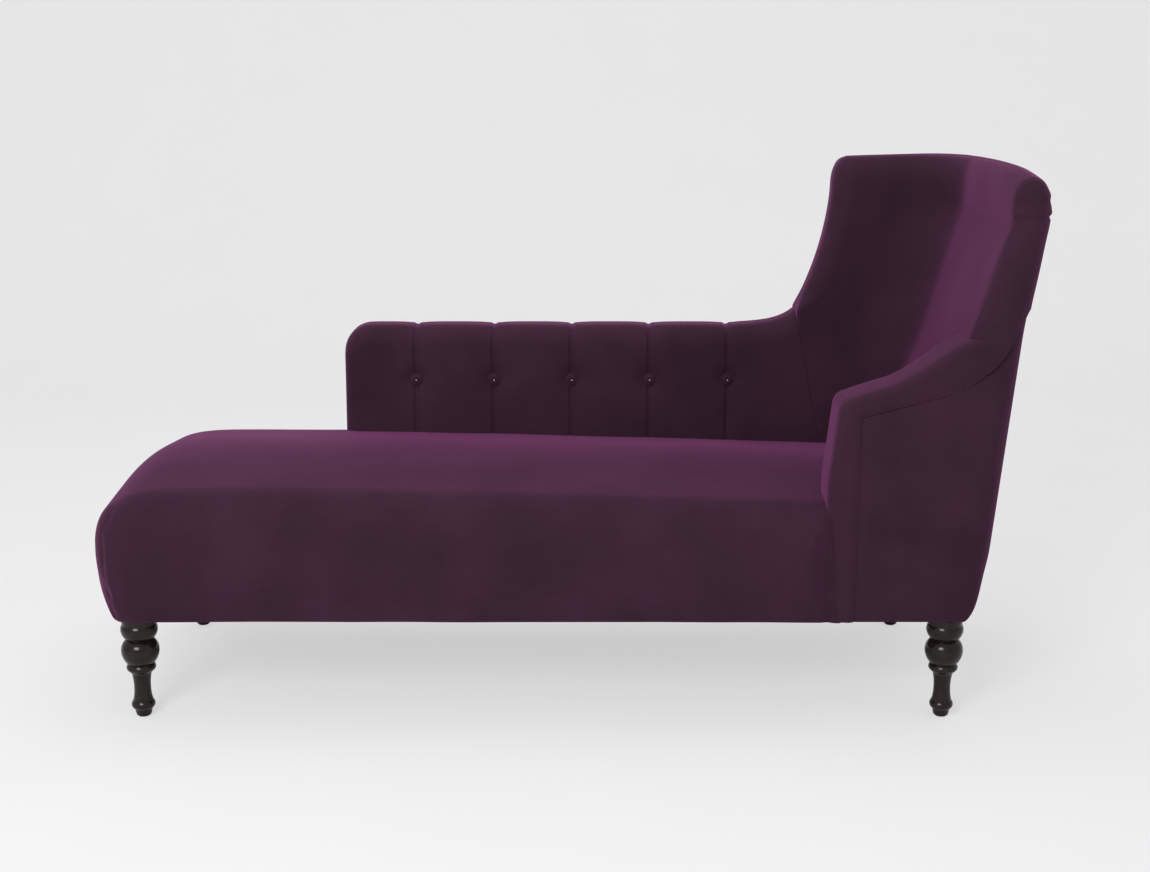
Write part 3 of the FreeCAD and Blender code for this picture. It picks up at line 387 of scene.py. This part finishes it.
def two_tones(tree, texture, dark, light):
    """Colour that wanders between two tones with a noise texture."""
    ramp = tree.nodes.new("ShaderNodeValToRGB")
    for stop, position, colour in zip(ramp.color_ramp.elements, (0.35, 0.65), (dark, light)):
        stop.position = position
        stop.color = (*colour, 1)
    tree.links.new(texture.outputs["Fac"], ramp.inputs["Fac"])
    return ramp


def add_bump(tree, shader, texture, distance, strength=1.0):
    bump = tree.nodes.new("ShaderNodeBump")
    bump.inputs["Distance"].default_value = distance
    bump.inputs["Strength"].default_value = strength
    tree.links.new(texture.outputs["Fac"], bump.inputs["Height"])
    tree.links.new(bump.outputs["Normal"], shader.inputs["Normal"])


def velvet_material():
    material, tree, shader = new_material("Aubergine velvet")
    shading = noise_node(tree, 7.0, 4.0)
    tones = two_tones(tree, shading, (0.027, 0.0105, 0.0200), (0.036, 0.0138, 0.0265))
    tree.links.new(tones.outputs["Color"], shader.inputs["Base Color"])
    shader.inputs["Roughness"].default_value = 0.85
    shader.inputs["Specular IOR Level"].default_value = 0.08
    shader.inputs["Sheen Weight"].default_value = 0.36
    shader.inputs["Sheen Roughness"].default_value = 0.42
    shader.inputs["Sheen Tint"].default_value = (0.60, 0.145, 0.47, 1)
    pile = noise_node(tree, 900.0, 2.0)
    add_bump(tree, shader, pile, 0.0006, 0.6)
    return material


def lacquer_material():
    material, tree, shader = new_material("Dark lacquered wood")
    grain = noise_node(tree, 60.0, 5.0, (1, 1, 0.12))
    tones = two_tones(tree, grain, (0.006, 0.0035, 0.003), (0.013, 0.0075, 0.006))
    tree.links.new(tones.outputs["Color"], shader.inputs["Base Color"])
    shader.inputs["Roughness"].default_value = 0.20
    shader.inputs["Specular IOR Level"].default_value = 0.22
    shader.inputs["Coat Weight"].default_value = 0.12
    shader.inputs["Coat Roughness"].default_value = 0.08
    add_bump(tree, shader, grain, 0.0002, 0.3)
    return material


def plain_material(name, dark, light, scale, stretch, roughness, metallic, relief):
    material, tree, shader = new_material(name)
    texture = noise_node(tree, scale, 4.0, stretch)
    tones = two_tones(tree, texture, dark, light)
    tree.links.new(tones.outputs["Color"], shader.inputs["Base Color"])
    shader.inputs["Roughness"].default_value = roughness
    shader.inputs["Metallic"].default_value = metallic
    add_bump(tree, shader, texture, relief)
    return material


def other_materials():
    even, grain = (1, 1, 1), (0.08, 1, 1)
    return {
        "foam": plain_material("Seat foam", (0.62, 0.55, 0.36), (0.72, 0.65, 0.45), 220, even,
                               0.95, 0, 0.0008),
        "wadding": plain_material("Wadding", (0.70, 0.69, 0.66), (0.82, 0.81, 0.78), 90, even,
                                  1.0, 0, 0.002),
        "webbing": plain_material("Webbing", (0.28, 0.22, 0.14), (0.42, 0.34, 0.22), 500, even,
                                  0.9, 0, 0.0005),
        "hessian": plain_material("Hessian", (0.36, 0.26, 0.15), (0.52, 0.40, 0.24), 600, even,
                                  0.95, 0, 0.0006),
        "twine": plain_material("Twine", (0.50, 0.43, 0.30), (0.62, 0.55, 0.40), 900, even,
                                0.9, 0, 0.0003),
        "dust_cloth": plain_material("Dust cloth", (0.010, 0.010, 0.011), (0.022, 0.022, 0.024),
                                     700, even, 0.95, 0, 0.0003),
        "frame_wood": plain_material("Beech frame", (0.42, 0.27, 0.15), (0.56, 0.39, 0.23), 45,
                                     grain, 0.6, 0, 0.0004),
        "plywood": plain_material("Plywood", (0.46, 0.31, 0.18), (0.60, 0.43, 0.27), 60, grain,
                                  0.65, 0, 0.0004),
        "dowel_wood": plain_material("Dowel wood", (0.50, 0.34, 0.19), (0.62, 0.45, 0.28), 150,
                                     grain, 0.6, 0, 0.0002),
        "spring_steel": plain_material("Spring steel", (0.10, 0.10, 0.10), (0.20, 0.20, 0.20),
                                       300, even, 0.4, 1, 0.0001),
        "plated_steel": plain_material("Plated steel", (0.45, 0.44, 0.42), (0.60, 0.59, 0.57),
                                       300, even, 0.3, 1, 0.0001),
        "glide_nylon": plain_material("Glide nylon", (0.016, 0.016, 0.016), (0.03, 0.03, 0.03),
                                      200, even, 0.5, 0, 0.0002),
        "leg_wood": lacquer_material(),
    }


# Seat cover

def side_limit(x, end):
    """Half width of the seat where its padded side closes in an arc at end."""
    inward = seat_half - panel_face
    radius = (bulge_end_length ** 2 + inward ** 2) / (2 * inward)
    past = clamp(x - (end - bulge_end_length), 0, bulge_end_length)
    return seat_half - radius + math.sqrt(radius ** 2 - past ** 2)


def seat_limit(x, z, far_side):
    """Half width of the seat, which ends just inside the arm and the low back."""
    end = low_start if far_side else arm_front
    if x <= end + (0 if far_side else arm_lean):
        return side_limit(x, end)
    if not far_side:
        return -arm_inner + 0.003
    return far_inner(z) + 0.004 + rounded_off(x - end, low_edge)


def seat_row(x):
    """Points across the seat at x, from the far rail over the crown to the near rail."""
    past = x - foot_tip
    share = clamp(1 - past / foot_sweep, 0, 1)
    along = clamp((x - foot_tip - foot_sweep) / (head_rail_face - foot_tip - foot_sweep), 0, 1)
    crown = seat_top - seat_fall * along ** 1.6
    high = bulge_height + (crown - bulge_height) * (1 - share ** foot_roll) ** (1 / foot_roll)
    low_share = clamp(1 - past / foot_bulge, 0, 1)
    low = bulge_height - (bulge_height - seat_deep) * (1 - low_share) ** 0.625
    wide = seat_half - rounded_off(past, foot_corner) + proud
    rise = max((high - low) / (seat_top - rail_bottom), 0.02)
    side_z = low + (high - low) * (bulge_height - rail_bottom) / (seat_top - rail_bottom)
    shoulder = high - seat_crown * rise
    foot = wide - side_tuck * rise
    right = [(foot - under_fold, low, 0.0), (foot, low, 0.002),
             (wide, side_z, side_radius * rise),
             (wide - side_lean * rise, shoulder, shoulder_radius * rise)]
    left = [(-y, z, r) for y, z, r in reversed(right)]
    corners = right + [(0.0, high, crown_radius)] + left
    sides, turns = [2, 10, 3, 24], [0, 2, 8, 14]
    row = []
    for y, z in rounded_path(corners, sides + sides[::-1], turns + [8] + turns[::-1], False):
        z = max(z, cover_foot)
        limit = seat_limit(x, z, y > 0) + proud
        row.append((x, clamp(y, -limit, limit), z + proud))
    return row


def seat_stations():
    """Places along the seat, closer together where its shape changes fast."""
    rolled, rows = 0.24, 26
    tip = [foot_tip + 0.0008 + rolled * (k / rows) ** 2.1 for k in range(rows + 1)]
    ends = [low_start - 0.0005, low_start + 0.001, arm_front, arm_front + arm_lean - 0.0005,
            arm_front + arm_lean + 0.004]
    run = np.arange(tip[-1] + seat_step, seat_end, seat_step)
    before = (-0.045, -0.03, -0.018, -0.009)
    fine = [end + s for end in (low_start, arm_front) for s in before]
    fine += [low_start + s for s in (0.004, 0.009, 0.016, 0.026)]
    return spaced(tip + ends + list(run) + fine + [seat_end])


def corner_fold(p):
    """How deep the fold at a foot corner is at a point; the cloth is lapped beside it."""
    x, y, z = p
    if x > foot_tip + 0.13 or abs(y) < 0.15 or z > fold_top:
        return 0.0
    angle = math.atan2(abs(y) - seat_half + fold_centre, foot_tip + fold_centre - x)
    line = fold_angle + fold_turn * (fold_top - z)
    across = (angle - line) * fold_centre
    reach = smooth((fold_top - z) / 0.05)
    return reach * (0.0042 * bell(across, 0.0028) - 0.0022 * bell(across - 0.008, 0.006))


def seat_cover(material):
    rows = [seat_row(x) for x in seat_stations()]
    points = np.array(rows).reshape(-1, 3)
    points[:, 2] += soften(points, 6.0, 0.0016, (3, 1, 7))
    obj = mesh_object("Seat_cover", points, grid_faces(len(rows), len(rows[0])), material)
    point_out(obj, (0, 0, 0.2))
    normals = [v.normal.copy() for v in obj.data.vertices]
    for vertex, normal in zip(obj.data.vertices, normals):
        vertex.co -= normal * corner_fold(vertex.co)
        vertex.co.z = max(vertex.co.z, cover_foot)
    thicken(obj)
    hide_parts("seat_cover", "seat_wadding", "seat_foam", "near_edge_roll", "foot_edge_roll",
                "far_edge_roll")


# Low back with its channels and buttons

def seam_share(x):
    """1 in a channel's seam, 0 between the seams, and below 0 on the lap beside it."""
    gap = min(abs(x - s) for s in seams)
    pinch = math.exp(-gap / 0.0105) + 0.10 * bell(gap, 0.035)
    return min(pinch, 1.0) - 0.22 * bell(gap - 0.0085, 0.003)


def button_pull(x, z):
    """How far the nearest button pulls the cover in."""
    gap = min(math.hypot(x - s, z - button_height) for s in seams)
    return 0.010 * bell(gap, 0.021) + 0.003 * bell(gap, 0.05)


def low_back_row(x):
    """Points up the front, over the top and down to the outside panel at x."""
    past = max(x - low_start, 0.0)
    sunk = seam_share(x) if x > low_start + low_corner else 0.0
    top = low_back_height(x) - rounded_off(past, low_corner) - seam_drop * sunk + proud
    front = rounded_off(past, low_edge) + seam_depth * sunk - proud
    rear = rounded_off(past, outer_edge) - proud
    low = rail_top if x < low_start + panel_margin else low_top - panel_margin
    outer = far_outer(low) - rear
    corners = [(far_inner(low_back_foot) + front, low_back_foot, 0.0),
               (far_inner(top) + front, top, low_edge),
               (far_outer(top) - rear, top, outer_edge),
               (outer, low + pad_gap, smallest_radius),
               (outer - 0.005, low + pad_gap, 0.0)]
    after_seam = seams[-1] + 0.03
    shear = smooth((x - after_seam) / (wing_start - after_seam))
    row = []
    for y, z in rounded_path(corners, [36, 5, 6, 2], [0, 12, 6, 1, 0], False):
        place = x + shear * (joint_x(z) - wing_start)
        pull = button_pull(place, z) if y < far_inner(z) + 0.03 else 0.0
        row.append((place, y + pull, z))
    return row


def low_back_stations():
    """Places along the low back, closer together at its end and at the seams."""
    end = (0.0004, 0.0025, 0.006, 0.011, 0.018, 0.0235, 0.0245, 0.034, 0.046, 0.058)
    beside = (0.002, 0.004, 0.0065, 0.009, 0.012, 0.016, 0.021, 0.028, 0.036, 0.046, 0.058, 0.071)
    stations = [low_start + s for s in end]
    for seam in seams:
        stations += [seam - d for d in beside] + [seam] + [seam + d for d in beside]
    return spaced(stations + [0.436, 0.450, 0.464, 0.476, 0.486, 0.493, wing_start])


def low_back_cover(material):
    rows = [low_back_row(x) for x in low_back_stations()]
    first = rows[0]
    end_top = first[len(first) // 2][2] - 0.004
    middle = (far_inner(0.5) + low_edge + far_outer(0.5) - outer_edge) / 2
    rows.insert(0, [(x, middle, min(z, end_top)) for x, y, z in first])
    rows.append([(x + 0.001, y + turned_in, z - turned_in) for x, y, z in rows[-1]])
    points = np.array(rows).reshape(-1, 3)
    points[:, 1] += soften(points, 9.0, 0.0014, (5, 2, 4))
    obj = mesh_object("Low_back_cover", points, grid_faces(len(rows), len(rows[0])),
                      material)
    point_out(obj, (0, 0.26, 0.45))
    thicken(obj)
    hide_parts("low_back_cover", "low_back_foam")


def tuft_buttons(material):
    """Domed buttons covered in velvet, with the cloth gathered under their rims."""
    rings = [(0.30, 0.02), (0.58, 0.09), (0.80, 0.22), (0.94, 0.42), (1.0, 0.62),
             (0.97, 0.82), (0.86, 1.0)]
    turns = 32
    points, faces = [], []
    front = far_inner(button_height) + seam_depth + 0.004 - button_thickness * 0.55
    for x in seams:
        ring = len(points) + 1
        points.append((x, front, button_height))
        for out, back in rings:
            for k in range(turns):
                angle = 2 * math.pi * k / turns
                radius = button_radius * out
                points.append((x + radius * math.cos(angle), front + button_thickness * back,
                               button_height + radius * math.sin(angle)))
        faces += [(ring - 1, ring + k, ring + (k + 1) % turns) for k in range(turns)]
        faces += grid_faces(len(rings), turns, ring, True)
        faces.append(tuple(ring + (len(rings) - 1) * turns + k for k in range(turns)))
    obj = mesh_object("Covered_buttons", points, faces, material)
    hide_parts("tuft_buttons")


# Head end's back and wing: columns run round the outline, rows run up

back_sides = [2, 20, 13, 4, 15, 24]
back_turns = [8, 8, 14, 8, 4, 10]
end_columns = 10           # from the middle of an end's outer corner to that of its inner one
outline_step = 0.004
outline_store = {}


def back_outline(z, depth):
    """Near-outer, near-inner, hollow, wing inner, wing outer and far-outer corners at z."""
    outer = back_outer(max(z, back_foot_z)) + crest_proud
    front = wing_front(z)
    free = clamp((z - wing_start_z) / wing_edge, 0, 1)
    corners = [(outer, near_face, near_corner), (back_inner(z), near_face, near_corner),
               (back_inner(z) + face_bow, far_inner(z), hollow_radius),
               (front, far_inner(z), blend(0.002, wing_edge, free)),
               (front, far_outer(z), blend(0.002, outer_edge, free)),
               (outer, far_outer(z), far_corner + crest_corner * smooth((z - 0.93) / 0.1))]
    return rounded_path(inset(corners, depth - proud), back_sides, back_turns, True)


def stored_outline(z, depth):
    """The outline at z, blended between outlines that are kept in steps of height."""
    level = z / outline_step
    low = math.floor(level)
    found = []
    for k in (low, low + 1):
        if (k, depth) not in outline_store:
            outline_store[k, depth] = back_outline(k * outline_step, depth)
        found.append(outline_store[k, depth])
    return blend(found[0], found[1], level - low)


def back_columns():
    """The column where each corner of the outline starts, and the number of columns."""
    marks, at = [], 0
    for side, turn in zip(back_sides, back_turns):
        marks.append(at)
        at += turn + side
    return marks, at


def seam_height(column):
    """Where the outside arm panel ends below a column of the back."""
    z = 0.75
    for _ in range(5):
        z = arm_seam(stored_outline(z, 0.0)[column][0])
    return z


def column_bottom(column, marks, point):
    """How far down a column runs: to a panel's edge, or out of sight behind the seat."""
    x, y = point
    behind_seat, inside_arm = 0.37, 0.70
    above_panel = opening_top + pad_gap
    if column <= marks[1] or (column > marks[5] and y < panel_joint_y):
        return seam_height(column)
    if column <= marks[1] + 6:
        return inside_arm
    if column < marks[4] + back_turns[4]:
        return behind_seat
    if column <= marks[5] and x < wing_front(0.9) + panel_margin - 0.004:
        return behind_seat
    return above_panel


def crest_fall(x, y):
    """How much lower the crest lies towards its near end and the wing's front."""
    near_fall, wing_fall, dome_rise = 0.016, 0.006, 0.003
    near = clamp((-y - 0.13) / 0.176, 0, 1) ** 2
    wing = clamp((0.80 - x) / 0.22, 0, 1) ** 2
    dome = clamp(1 - (y / 0.2) ** 2, 0, 1)
    return near_fall * near + wing_fall * wing - dome_rise * dome


def crest_pleats(p):
    """Two short darts sewn where the crest turns down at its near end."""
    x, y, z = p
    if y > -0.235 or z < 0.93:
        return 0.0
    reach = smooth((x - 0.800) / 0.025) * smooth((-y - 0.240) / 0.02)
    total = 0.0
    for height, lean in ((0.992, 0.10), (0.964, 0.04)):
        across = z - (height + lean * (x - 0.84))
        total += reach * (0.0036 * bell(across, 0.0028) - 0.0020 * bell(across - 0.008, 0.005))
    return total


def back_rows(marks, count):
    """Rows from the turned-in lower edge up to the foot of the crest, and over its edge."""
    sample = back_outline(0.85, 0.0)
    crest_start = crest_top - crest_round
    steps = 64
    rows = [[] for _ in range(steps + 2)]
    for column in range(count):
        low = column_bottom(column, marks, sample[column])
        u, v = stored_outline(low, turned_in)[column]
        rows[0].append((u, v, low))
        for i in range(steps + 1):
            z = blend(low, crest_start, i / steps)
            u, v = stored_outline(z, 0.0)[column]
            rows[i + 1].append((u, v, z))
    for t in (0.15, 0.3, 0.45, 0.6, 0.72, 0.82, 0.9, 0.955, 0.985, 0.999):
        depth = crest_inset * (1 - math.sqrt(1 - t ** 2))
        z = crest_start + crest_round * t
        rows.append([(u, v, z) for u, v in back_outline(z, depth)])
    return rows


def strip(before, here):
    """Quads between two lists of point numbers."""
    pairs = list(zip(before, here))
    return [(a, c, d, b) for (a, b), (c, d) in zip(pairs, pairs[1:])]


def close_crest(points, faces, marks, count):
    """Rows across the top, from the near end to the wing's front, slightly domed."""
    last = len(points) - count
    near_middle = back_turns[0] // 2
    inner_start = marks[1] + back_turns[1] // 2
    inner_end = marks[3] + back_turns[3] // 2
    before = [last + near_middle + k for k in range(end_columns + 1)]
    for i in range(1, inner_end - inner_start):
        outer, inner = last + (near_middle - i) % count, last + inner_start + i
        here = [outer]
        for k in range(1, end_columns):
            share = k / end_columns
            u, v, z = blend(np.array(points[outer]), np.array(points[inner]), share)
            here.append(len(points))
            points.append((u, v, z + 0.010 * share * (1 - share)))
        here.append(inner)
        faces += strip(before, here)
        before = here
    faces += strip(before, [last + inner_end + end_columns - k for k in range(end_columns + 1)])


def head_back_cover(material):
    marks, count = back_columns()
    rows = back_rows(marks, count)
    points = [p for row in rows for p in row]
    faces = grid_faces(len(rows), count, 0, True)
    close_crest(points, faces, marks, count)
    fall_start, fall_length = 0.90, 0.13
    points = [(x, y, z - crest_fall(x, y) * smooth((z - fall_start) / fall_length))
              for x, y, z in points]
    obj = mesh_object("Head_back_cover", points, faces, material)
    mesh = obj.data
    if sum(f.normal.z * f.area for f in mesh.polygons if f.center.z > crest_top - 0.015) < 0:
        mesh.flip_normals()
    normals = [v.normal.copy() for v in mesh.vertices]
    wobble = soften([v.co for v in mesh.vertices], 7.0, 0.0016, (1, 8, 2))
    for vertex, normal, uneven in zip(mesh.vertices, normals, wobble):
        vertex.co += normal * (uneven - crest_pleats(vertex.co))
    thicken(obj)
    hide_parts("head_back_cover", "head_back_foam")


# Arm cover: columns run across the arm, rows run along its front and top

def arm_path():
    """The arm's outline from its foot up the front and along the top to the back."""
    rear_z = arm_top(back_near_face + 0.010)
    rear_x = back_inner(rear_z) + near_corner + 0.001
    corners = [(arm_front + 0.012, cover_foot, 0.0), (arm_front - 0.005, 0.455, 0.3),
               (arm_front + 0.014, arm_front_top - 0.005, 0.028)]
    for x in (arm_front + 0.062, arm_lift_start + 0.005, arm_lift_start + 0.060,
              arm_lift_start + 0.110):
        corners.append((x, arm_top(x) + 0.001, 0.17))
    corners.append((rear_x, arm_top(rear_x), 0.0))
    return rounded_path(corners, [22, 14, 3, 2, 2, 2, 5], [0, 6, 10, 5, 5, 5, 5, 0], False)


def arm_round_in(share, depth):
    """How far the edge has turned in, share 0 at the side face and 1 on the top."""
    fullness = 2.6
    return depth * (1 - (1 - (1 - share) ** fullness) ** (1 / fullness))


def face_targets(path, low):
    """Where each strip of a side face ends: the front's on the facing's rear edge, the
    top's on the line low(x), and those between in the corner where the two meet."""
    split = arm_front + arm_band
    corner = 0.006
    turn = [i for i, (x, z) in enumerate(path) if z < 0.600][-1]
    rest = [i for i, (x, z) in enumerate(path) if x > split + 0.012][0]
    targets = []
    for i, (x, z) in enumerate(path):
        if i <= turn:
            share = (z - cover_foot) / (path[turn][1] - cover_foot)
            targets.append((split, blend(cover_foot, low(split) - corner, share)))
        elif i < rest:
            share = (i - turn) / (rest - turn)
            along = split + max(share - 0.5, 0) * 2 * (path[rest][0] - split)
            targets.append((along, low(along) - corner * max(1 - 2 * share, 0)))
        else:
            targets.append((x, low(x)))
    return targets


def arm_row(place, inward, seam, foot):
    """Points from the panel's seam over the arm and down its inner face."""
    shares = [0.0, 0.02, 0.06, 0.12, 0.2, 0.32, 0.48, 0.7, 1.0]
    near_depth, inner_depth = 0.0187, 0.0153
    near_steps, inner_steps = 6, 5
    seam, foot = np.array(seam), np.array(foot)
    row = [(seam[0], near_face + 0.0095, seam[1])]
    for k in range(near_steps):
        x, z = blend(seam, place + inward * near_depth, k / near_steps)
        away = math.hypot(x - seam[0], z - seam[1])
        row.append((x, near_face + arm_roll * (1 - smooth(away / arm_roll_width)), z))
    for share in shares:
        x, z = place + inward * arm_round_in(share, near_depth)
        row.append((x, near_face + share * arm_round, z))
    for share in shares[::-1]:
        x, z = place + inward * arm_round_in(share, inner_depth)
        row.append((x, arm_inner - share * arm_round, z))
    for k in range(1, inner_steps + 1):
        x, z = blend(place + inward * inner_depth, foot, k / inner_steps)
        row.append((x, arm_inner, z))
    return row


def arm_cover(material):
    path = arm_path()
    step = np.gradient(path, axis=0)
    step /= np.linalg.norm(step, axis=1)[:, None]
    inward = np.stack([step[:, 1], -step[:, 0]], axis=1)
    below_seat = 0.40
    seam_ends = face_targets(path, arm_seam)
    foot_ends = face_targets(path, lambda x: below_seat)
    rows = [arm_row(*ends) for ends in zip(path, inward, seam_ends, foot_ends)]
    points = np.array(rows).reshape(-1, 3)
    uneven = soften(points, 9.0, 0.0012, (2, 2, 9))
    points[:, 2] = np.maximum(points[:, 2] + uneven, cover_foot)
    obj = mesh_object("Arm_cover", points, grid_faces(len(rows), len(rows[0])), material)
    point_out(obj, (0.62, -0.245, 0.45))
    thicken(obj)
    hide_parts("arm_cover", "arm_foam")


# Outside panels

def panel_object(name, rows, inside, node, material):
    points = np.array(rows).reshape(-1, 3)
    obj = mesh_object(name, points, grid_faces(len(rows), len(rows[0])), material)
    point_out(obj, inside)
    thicken(obj)
    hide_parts(node)


def panel_levels(low, high, count):
    return [blend(low, high, k / count) for k in range(count + 1)]


def panel_outer(z):
    """Rear face of the panels; at the foot it still clears the head rail."""
    return max(back_outer(z) - panel_gap, head_rail_face + pad_gap)


def panel_corner(z, radius):
    """The panels' corner tightens towards the foot, round the ends of the rails."""
    return blend(0.009, radius, smooth((z - rail_bottom) / 0.10))


def quarter_turn(radius):
    """Run and rise of points round a quarter circle."""
    steps = 10
    angles = [k / steps * math.pi / 2 for k in range(steps + 1)]
    return [(radius * math.sin(a), radius * (1 - math.cos(a))) for a in angles]


def arm_panel_line(z):
    """Places along the near side, round the corner and onto the back at height z."""
    start = arm_front + arm_band - 0.003
    radius = panel_corner(z, near_corner)
    turn_x = panel_outer(z) - radius
    steps = 24
    line = [(blend(start, turn_x, k / steps), -panel_face) for k in range(steps)]
    line += [(turn_x + run, -panel_face + rise) for run, rise in quarter_turn(radius)]
    return line + [(panel_outer(z), panel_joint_y - panel_gap)]


def outside_arm_panel(material):
    rows = []
    for column in range(len(arm_panel_line(rail_top))):
        top = 0.7
        for _ in range(4):
            top = arm_seam(arm_panel_line(top)[column][0])
        levels = panel_levels(panel_foot, top - row_gap, 44)
        rows.append([(*arm_panel_line(z)[column], z) for z in levels])
    panel_object("Outside_arm_panel", rows, (0.6, 0, 0.4), "outside_arm_panel", material)


def outside_back_panel(material):
    rows = []
    steps = 26
    for z in panel_levels(panel_foot, opening_top, 60):
        outer, far_y = panel_outer(z), far_outer(z)
        radius = panel_corner(z, far_corner)
        turn_y = far_y - radius
        row = [(outer, blend(panel_joint_y + panel_gap, turn_y, k / steps), z)
               for k in range(steps)]
        row += [(outer - rise, turn_y + run, z) for run, rise in quarter_turn(radius)]
        row.append((outer - far_corner - 0.008, far_y, z))
        rows.append(row)
    panel_object("Outside_back_panel", rows, (0.4, 0, 0.5), "outside_back_panel", material)


def outside_far_panel(material):
    """The panel steps back at the rails' top and again where the wing begins."""
    step_z = low_top - panel_margin + lap
    levels = panel_levels(panel_foot, rail_top - row_gap, 12)
    levels += panel_levels(rail_top + row_gap, step_z - row_gap, 26)
    levels += panel_levels(step_z + row_gap, opening_top + lap, 24)
    steps = 60
    rows = []
    for z in levels:
        front = wing_front(z) + panel_margin - lap
        if z < step_z:
            front = low_start + panel_margin - lap
        if z < rail_top:
            front = low_start + 0.0006
        rear = back_outer(z) - far_corner - 0.0084 + lap
        rows.append([(blend(front, rear, k / steps), far_outer(z) - sunk_panel, z)
                     for k in range(steps + 1)])
    panel_object("Outside_far_panel", rows, (0.2, 0, 0.5), "outside_far_panel", material)


# Lights, floor and camera

def area_light(name, place, aim, size, power):
    data = bpy.data.lights.new(name, "AREA")
    data.shape = "RECTANGLE"
    data.size, data.size_y = size
    data.energy = power
    light = bpy.data.objects.new(name, data)
    light.location = place
    light.rotation_euler = (Vector(aim) - Vector(place)).to_track_quat("-Z", "Y").to_euler()
    bpy.context.collection.objects.link(light)


def paper_material():
    """Pale paper that shows a soft shadow: part of what the camera sees is its own tone."""
    material, tree, shader = new_material("Studio paper")
    texture = noise_node(tree, 3.0)
    tones = two_tones(tree, texture, (0.80, 0.80, 0.805), (0.815, 0.815, 0.82))
    tree.links.new(tones.outputs["Color"], shader.inputs["Base Color"])
    shader.inputs["Roughness"].default_value = 0.95
    shader.inputs["Specular IOR Level"].default_value = 0.1
    paper = tree.nodes.new("ShaderNodeEmission")
    paper.inputs["Color"].default_value = (0.87, 0.87, 0.87, 1)
    path = tree.nodes.new("ShaderNodeLightPath")
    share = tree.nodes.new("ShaderNodeMath")
    share.operation = "MULTIPLY"
    share.inputs[1].default_value = 0.62
    mix = tree.nodes.new("ShaderNodeMixShader")
    tree.links.new(path.outputs["Is Camera Ray"], share.inputs[0])
    tree.links.new(share.outputs["Value"], mix.inputs["Fac"])
    tree.links.new(shader.outputs["BSDF"], mix.inputs[1])
    tree.links.new(paper.outputs["Emission"], mix.inputs[2])
    tree.links.new(mix.outputs["Shader"], tree.nodes["Material Output"].inputs["Surface"])
    return material


def studio():
    """A pale floor that sweeps up into a wall behind."""
    front, bend_start, bend, top, half_width, steps = -6.0, 3.0, 2.0, 6.0, 9.0, 16
    profile = [(front, 0.0), (bend_start, 0.0)]
    for k in range(1, steps + 1):
        angle = k / steps * math.pi / 2
        profile.append((bend_start + bend * math.sin(angle), bend * (1 - math.cos(angle))))
    profile.append((bend_start + bend, top))
    points = [(x, y, z) for y, z in profile for x in (-half_width, half_width)]
    mesh = bpy.data.meshes.new("Studio_sweep")
    mesh.from_pydata(points, [], grid_faces(len(profile), 2))
    mesh.shade_smooth()
    mesh.materials.append(paper_material())
    sweep = bpy.data.objects.new("Studio_sweep", mesh)
    bpy.context.collection.objects.link(sweep)


def world():
    """Even light from all round, a soft key light from the front and one from above."""
    scene = bpy.context.scene
    scene.world = bpy.data.worlds.new("Studio light")
    scene.world.use_nodes = True
    background = scene.world.node_tree.nodes["Background"]
    background.inputs["Color"].default_value = (1.0, 1.0, 1.0, 1)
    background.inputs["Strength"].default_value = 0.68
    area_light("Key", (-1.4, -3.6, 2.4), (0, 0, 0.5), (1.8, 1.4), 110)
    area_light("Top", (0.2, 0.4, 3.6), (0, 0, 0.3), (3.0, 2.0), 25)


def camera():
    """The photo's camera, solved from the perspective of the four legs."""
    eye, tilt = (0.023, -3.2955, 1.25), 77.1
    data = bpy.data.cameras.new("Camera")
    data.lens = 52.0
    data.sensor_fit = "HORIZONTAL"
    data.sensor_width = 36.0
    view = bpy.data.objects.new("Camera", data)
    view.location = eye
    view.rotation_euler = (math.radians(tilt), 0, 0)
    bpy.context.collection.objects.link(view)
    bpy.context.scene.camera = view


def paint_nodes(velvet):
    """Each CAD piece that stays gets the material of its slot."""
    materials = other_materials()
    materials["velvet"] = velvet
    slots = {part["node"]: part["material_slot"] for part in frame["record"]["subparts"]}
    for name, obj in frame["nodes"].items():
        material = materials[slots[name]]
        obj.data.materials.clear()
        obj.data.materials.append(material)


velvet = velvet_material()
paint_nodes(velvet)
for build in (seat_cover, low_back_cover, tuft_buttons, head_back_cover, arm_cover,
              outside_arm_panel, outside_back_panel, outside_far_panel):
    build(velvet)
studio()
world()
camera()
bpy.context.scene.view_settings.view_transform = "Standard"
